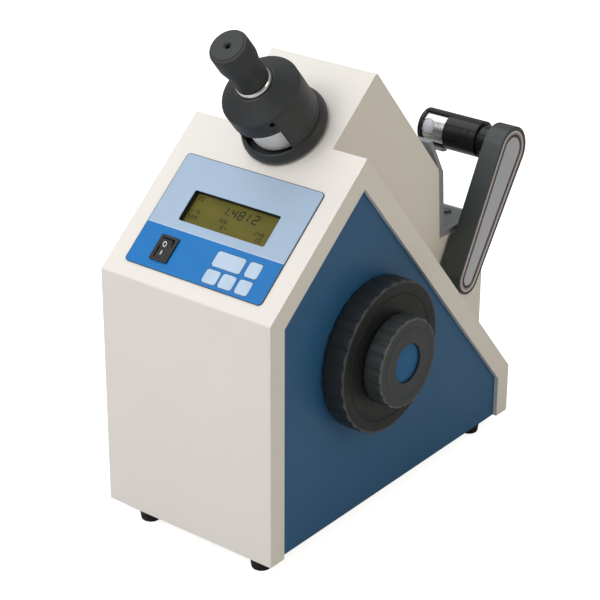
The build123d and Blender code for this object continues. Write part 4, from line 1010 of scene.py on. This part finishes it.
# ---------------------------------------------------------------- camera
AZ, EL, ROLL = math.radians(38.242), math.radians(25.107), math.radians(0.295)
fwd = Vector((-math.sin(AZ) * math.cos(EL), math.cos(AZ) * math.cos(EL), -math.sin(EL)))
rgt = Vector((math.cos(AZ), math.sin(AZ), 0))
upv = Vector((-math.sin(AZ) * math.sin(EL), math.cos(AZ) * math.sin(EL), math.cos(EL)))
r_ = rgt * math.cos(ROLL) + upv * math.sin(ROLL)
u_ = -rgt * math.sin(ROLL) + upv * math.cos(ROLL)
cam = bpy.data.cameras.new("camera")
cam.lens, cam.sensor_width = 118.36, 36.0
cam.clip_start, cam.clip_end = 0.05, 50.0
co = bpy.data.objects.new("camera", cam)
mw = co.matrix_world.copy()
for i in range(3):
    mw[i][0], mw[i][1], mw[i][2] = r_[i], u_[i], -fwd[i]
mw[0][3], mw[1][3], mw[2][3] = (958.41 - OX) / 1000, (-1064.809 - OY) / 1000, 0.89942
co.matrix_world = mw
bpy.context.scene.collection.objects.link(co)
bpy.context.scene.camera = co

# ---------------------------------------------------------------- floor, light
scn = bpy.context.scene
scn.view_settings.view_transform = "Standard"
scn.view_settings.look = "None"
scn.view_settings.exposure = 0.0
scn.view_settings.gamma = 1.0

fm = bpy.data.meshes.new("floor")
S = 6.0
fm.from_pydata([(-S, -S, 0), (S, -S, 0), (S, S, 0), (-S, S, 0)], [], [(0, 1, 2, 3)])
floor = bpy.data.objects.new("floor", fm)
scn.collection.objects.link(floor)
m = Mat("floor_pale", (214, 213, 211), 0.8, spec=0.1)
m.base(m.mix(m.range(m.noise(6.0, 3.0), 0.3, 0.7), lin((211, 210, 208)), lin((217, 216, 214))))
em = m.node("ShaderNodeEmission")
lp = m.node("ShaderNodeLightPath")
em.inputs["Color"].default_value = (1, 1, 1, 1)
k = m.math("MULTIPLY", lp.outputs["Is Camera Ray"], 0.84)
m.link(k, em.inputs["Strength"])
ad = m.node("ShaderNodeAddShader")
m.link(m.b.outputs[0], ad.inputs[0])
m.link(em.outputs[0], ad.inputs[1])
m.link(ad.outputs[0], m.out.inputs[0])
fm.materials.append(m.m)

w = bpy.data.worlds.new("studio")
scn.world = w
w.use_nodes = True
nt = w.node_tree
nt.nodes.clear()
out = nt.nodes.new("ShaderNodeOutputWorld")
bg = nt.nodes.new("ShaderNodeBackground")
nt.links.new(bg.outputs[0], out.inputs[0])
tc = nt.nodes.new("ShaderNodeTexCoord")
sx = nt.nodes.new("ShaderNodeSeparateXYZ")
nt.links.new(tc.outputs["Generated"], sx.inputs[0])
rp = nt.nodes.new("ShaderNodeValToRGB")
nt.links.new(sx.outputs["Z"], rp.inputs[0])
rp.color_ramp.elements[0].position = 0.0
rp.color_ramp.elements[0].color = (0.42, 0.41, 0.40, 1)
rp.color_ramp.elements[1].position = 0.75
rp.color_ramp.elements[1].color = (0.80, 0.80, 0.80, 1)
lp = nt.nodes.new("ShaderNodeLightPath")
mx_ = nt.nodes.new("ShaderNodeMix")
mx_.data_type = "RGBA"
nt.links.new(lp.outputs["Is Camera Ray"], mx_.inputs[0])
nt.links.new(rp.outputs[0], mx_.inputs[6])
mx_.inputs[7].default_value = (1, 1, 1, 1)
nt.links.new(mx_.outputs[2], bg.inputs["Color"])
bg.inputs["Strength"].default_value = 0.585


def area(name, place, target, size, power, color=(1, 1, 1), size_y=None):
    d = bpy.data.lights.new(name, "AREA")
    d.energy = power
    d.color = color
    d.size = size
    if size_y:
        d.shape = "RECTANGLE"
        d.size_y = size_y
    o = bpy.data.objects.new(name, d)
    o.location = place
    o.rotation_mode = "QUATERNION"
    o.rotation_quaternion = (Vector(target) - Vector(place)).to_track_quat("-Z", "Y")
    scn.collection.objects.link(o)
    return o


CEN = (0.0, 0.0, 0.22)
area("key", (-0.35, -1.30, 1.45), CEN, 1.0, 16.6, (1.0, 0.99, 0.98))
area("top", (-0.8, 0.1, 2.0), CEN, 1.5, 9.0, (1.0, 1.0, 1.0))
area("right", (1.9, 0.2, 1.0), CEN, 1.0, 6.0, (1.0, 0.86, 0.52))
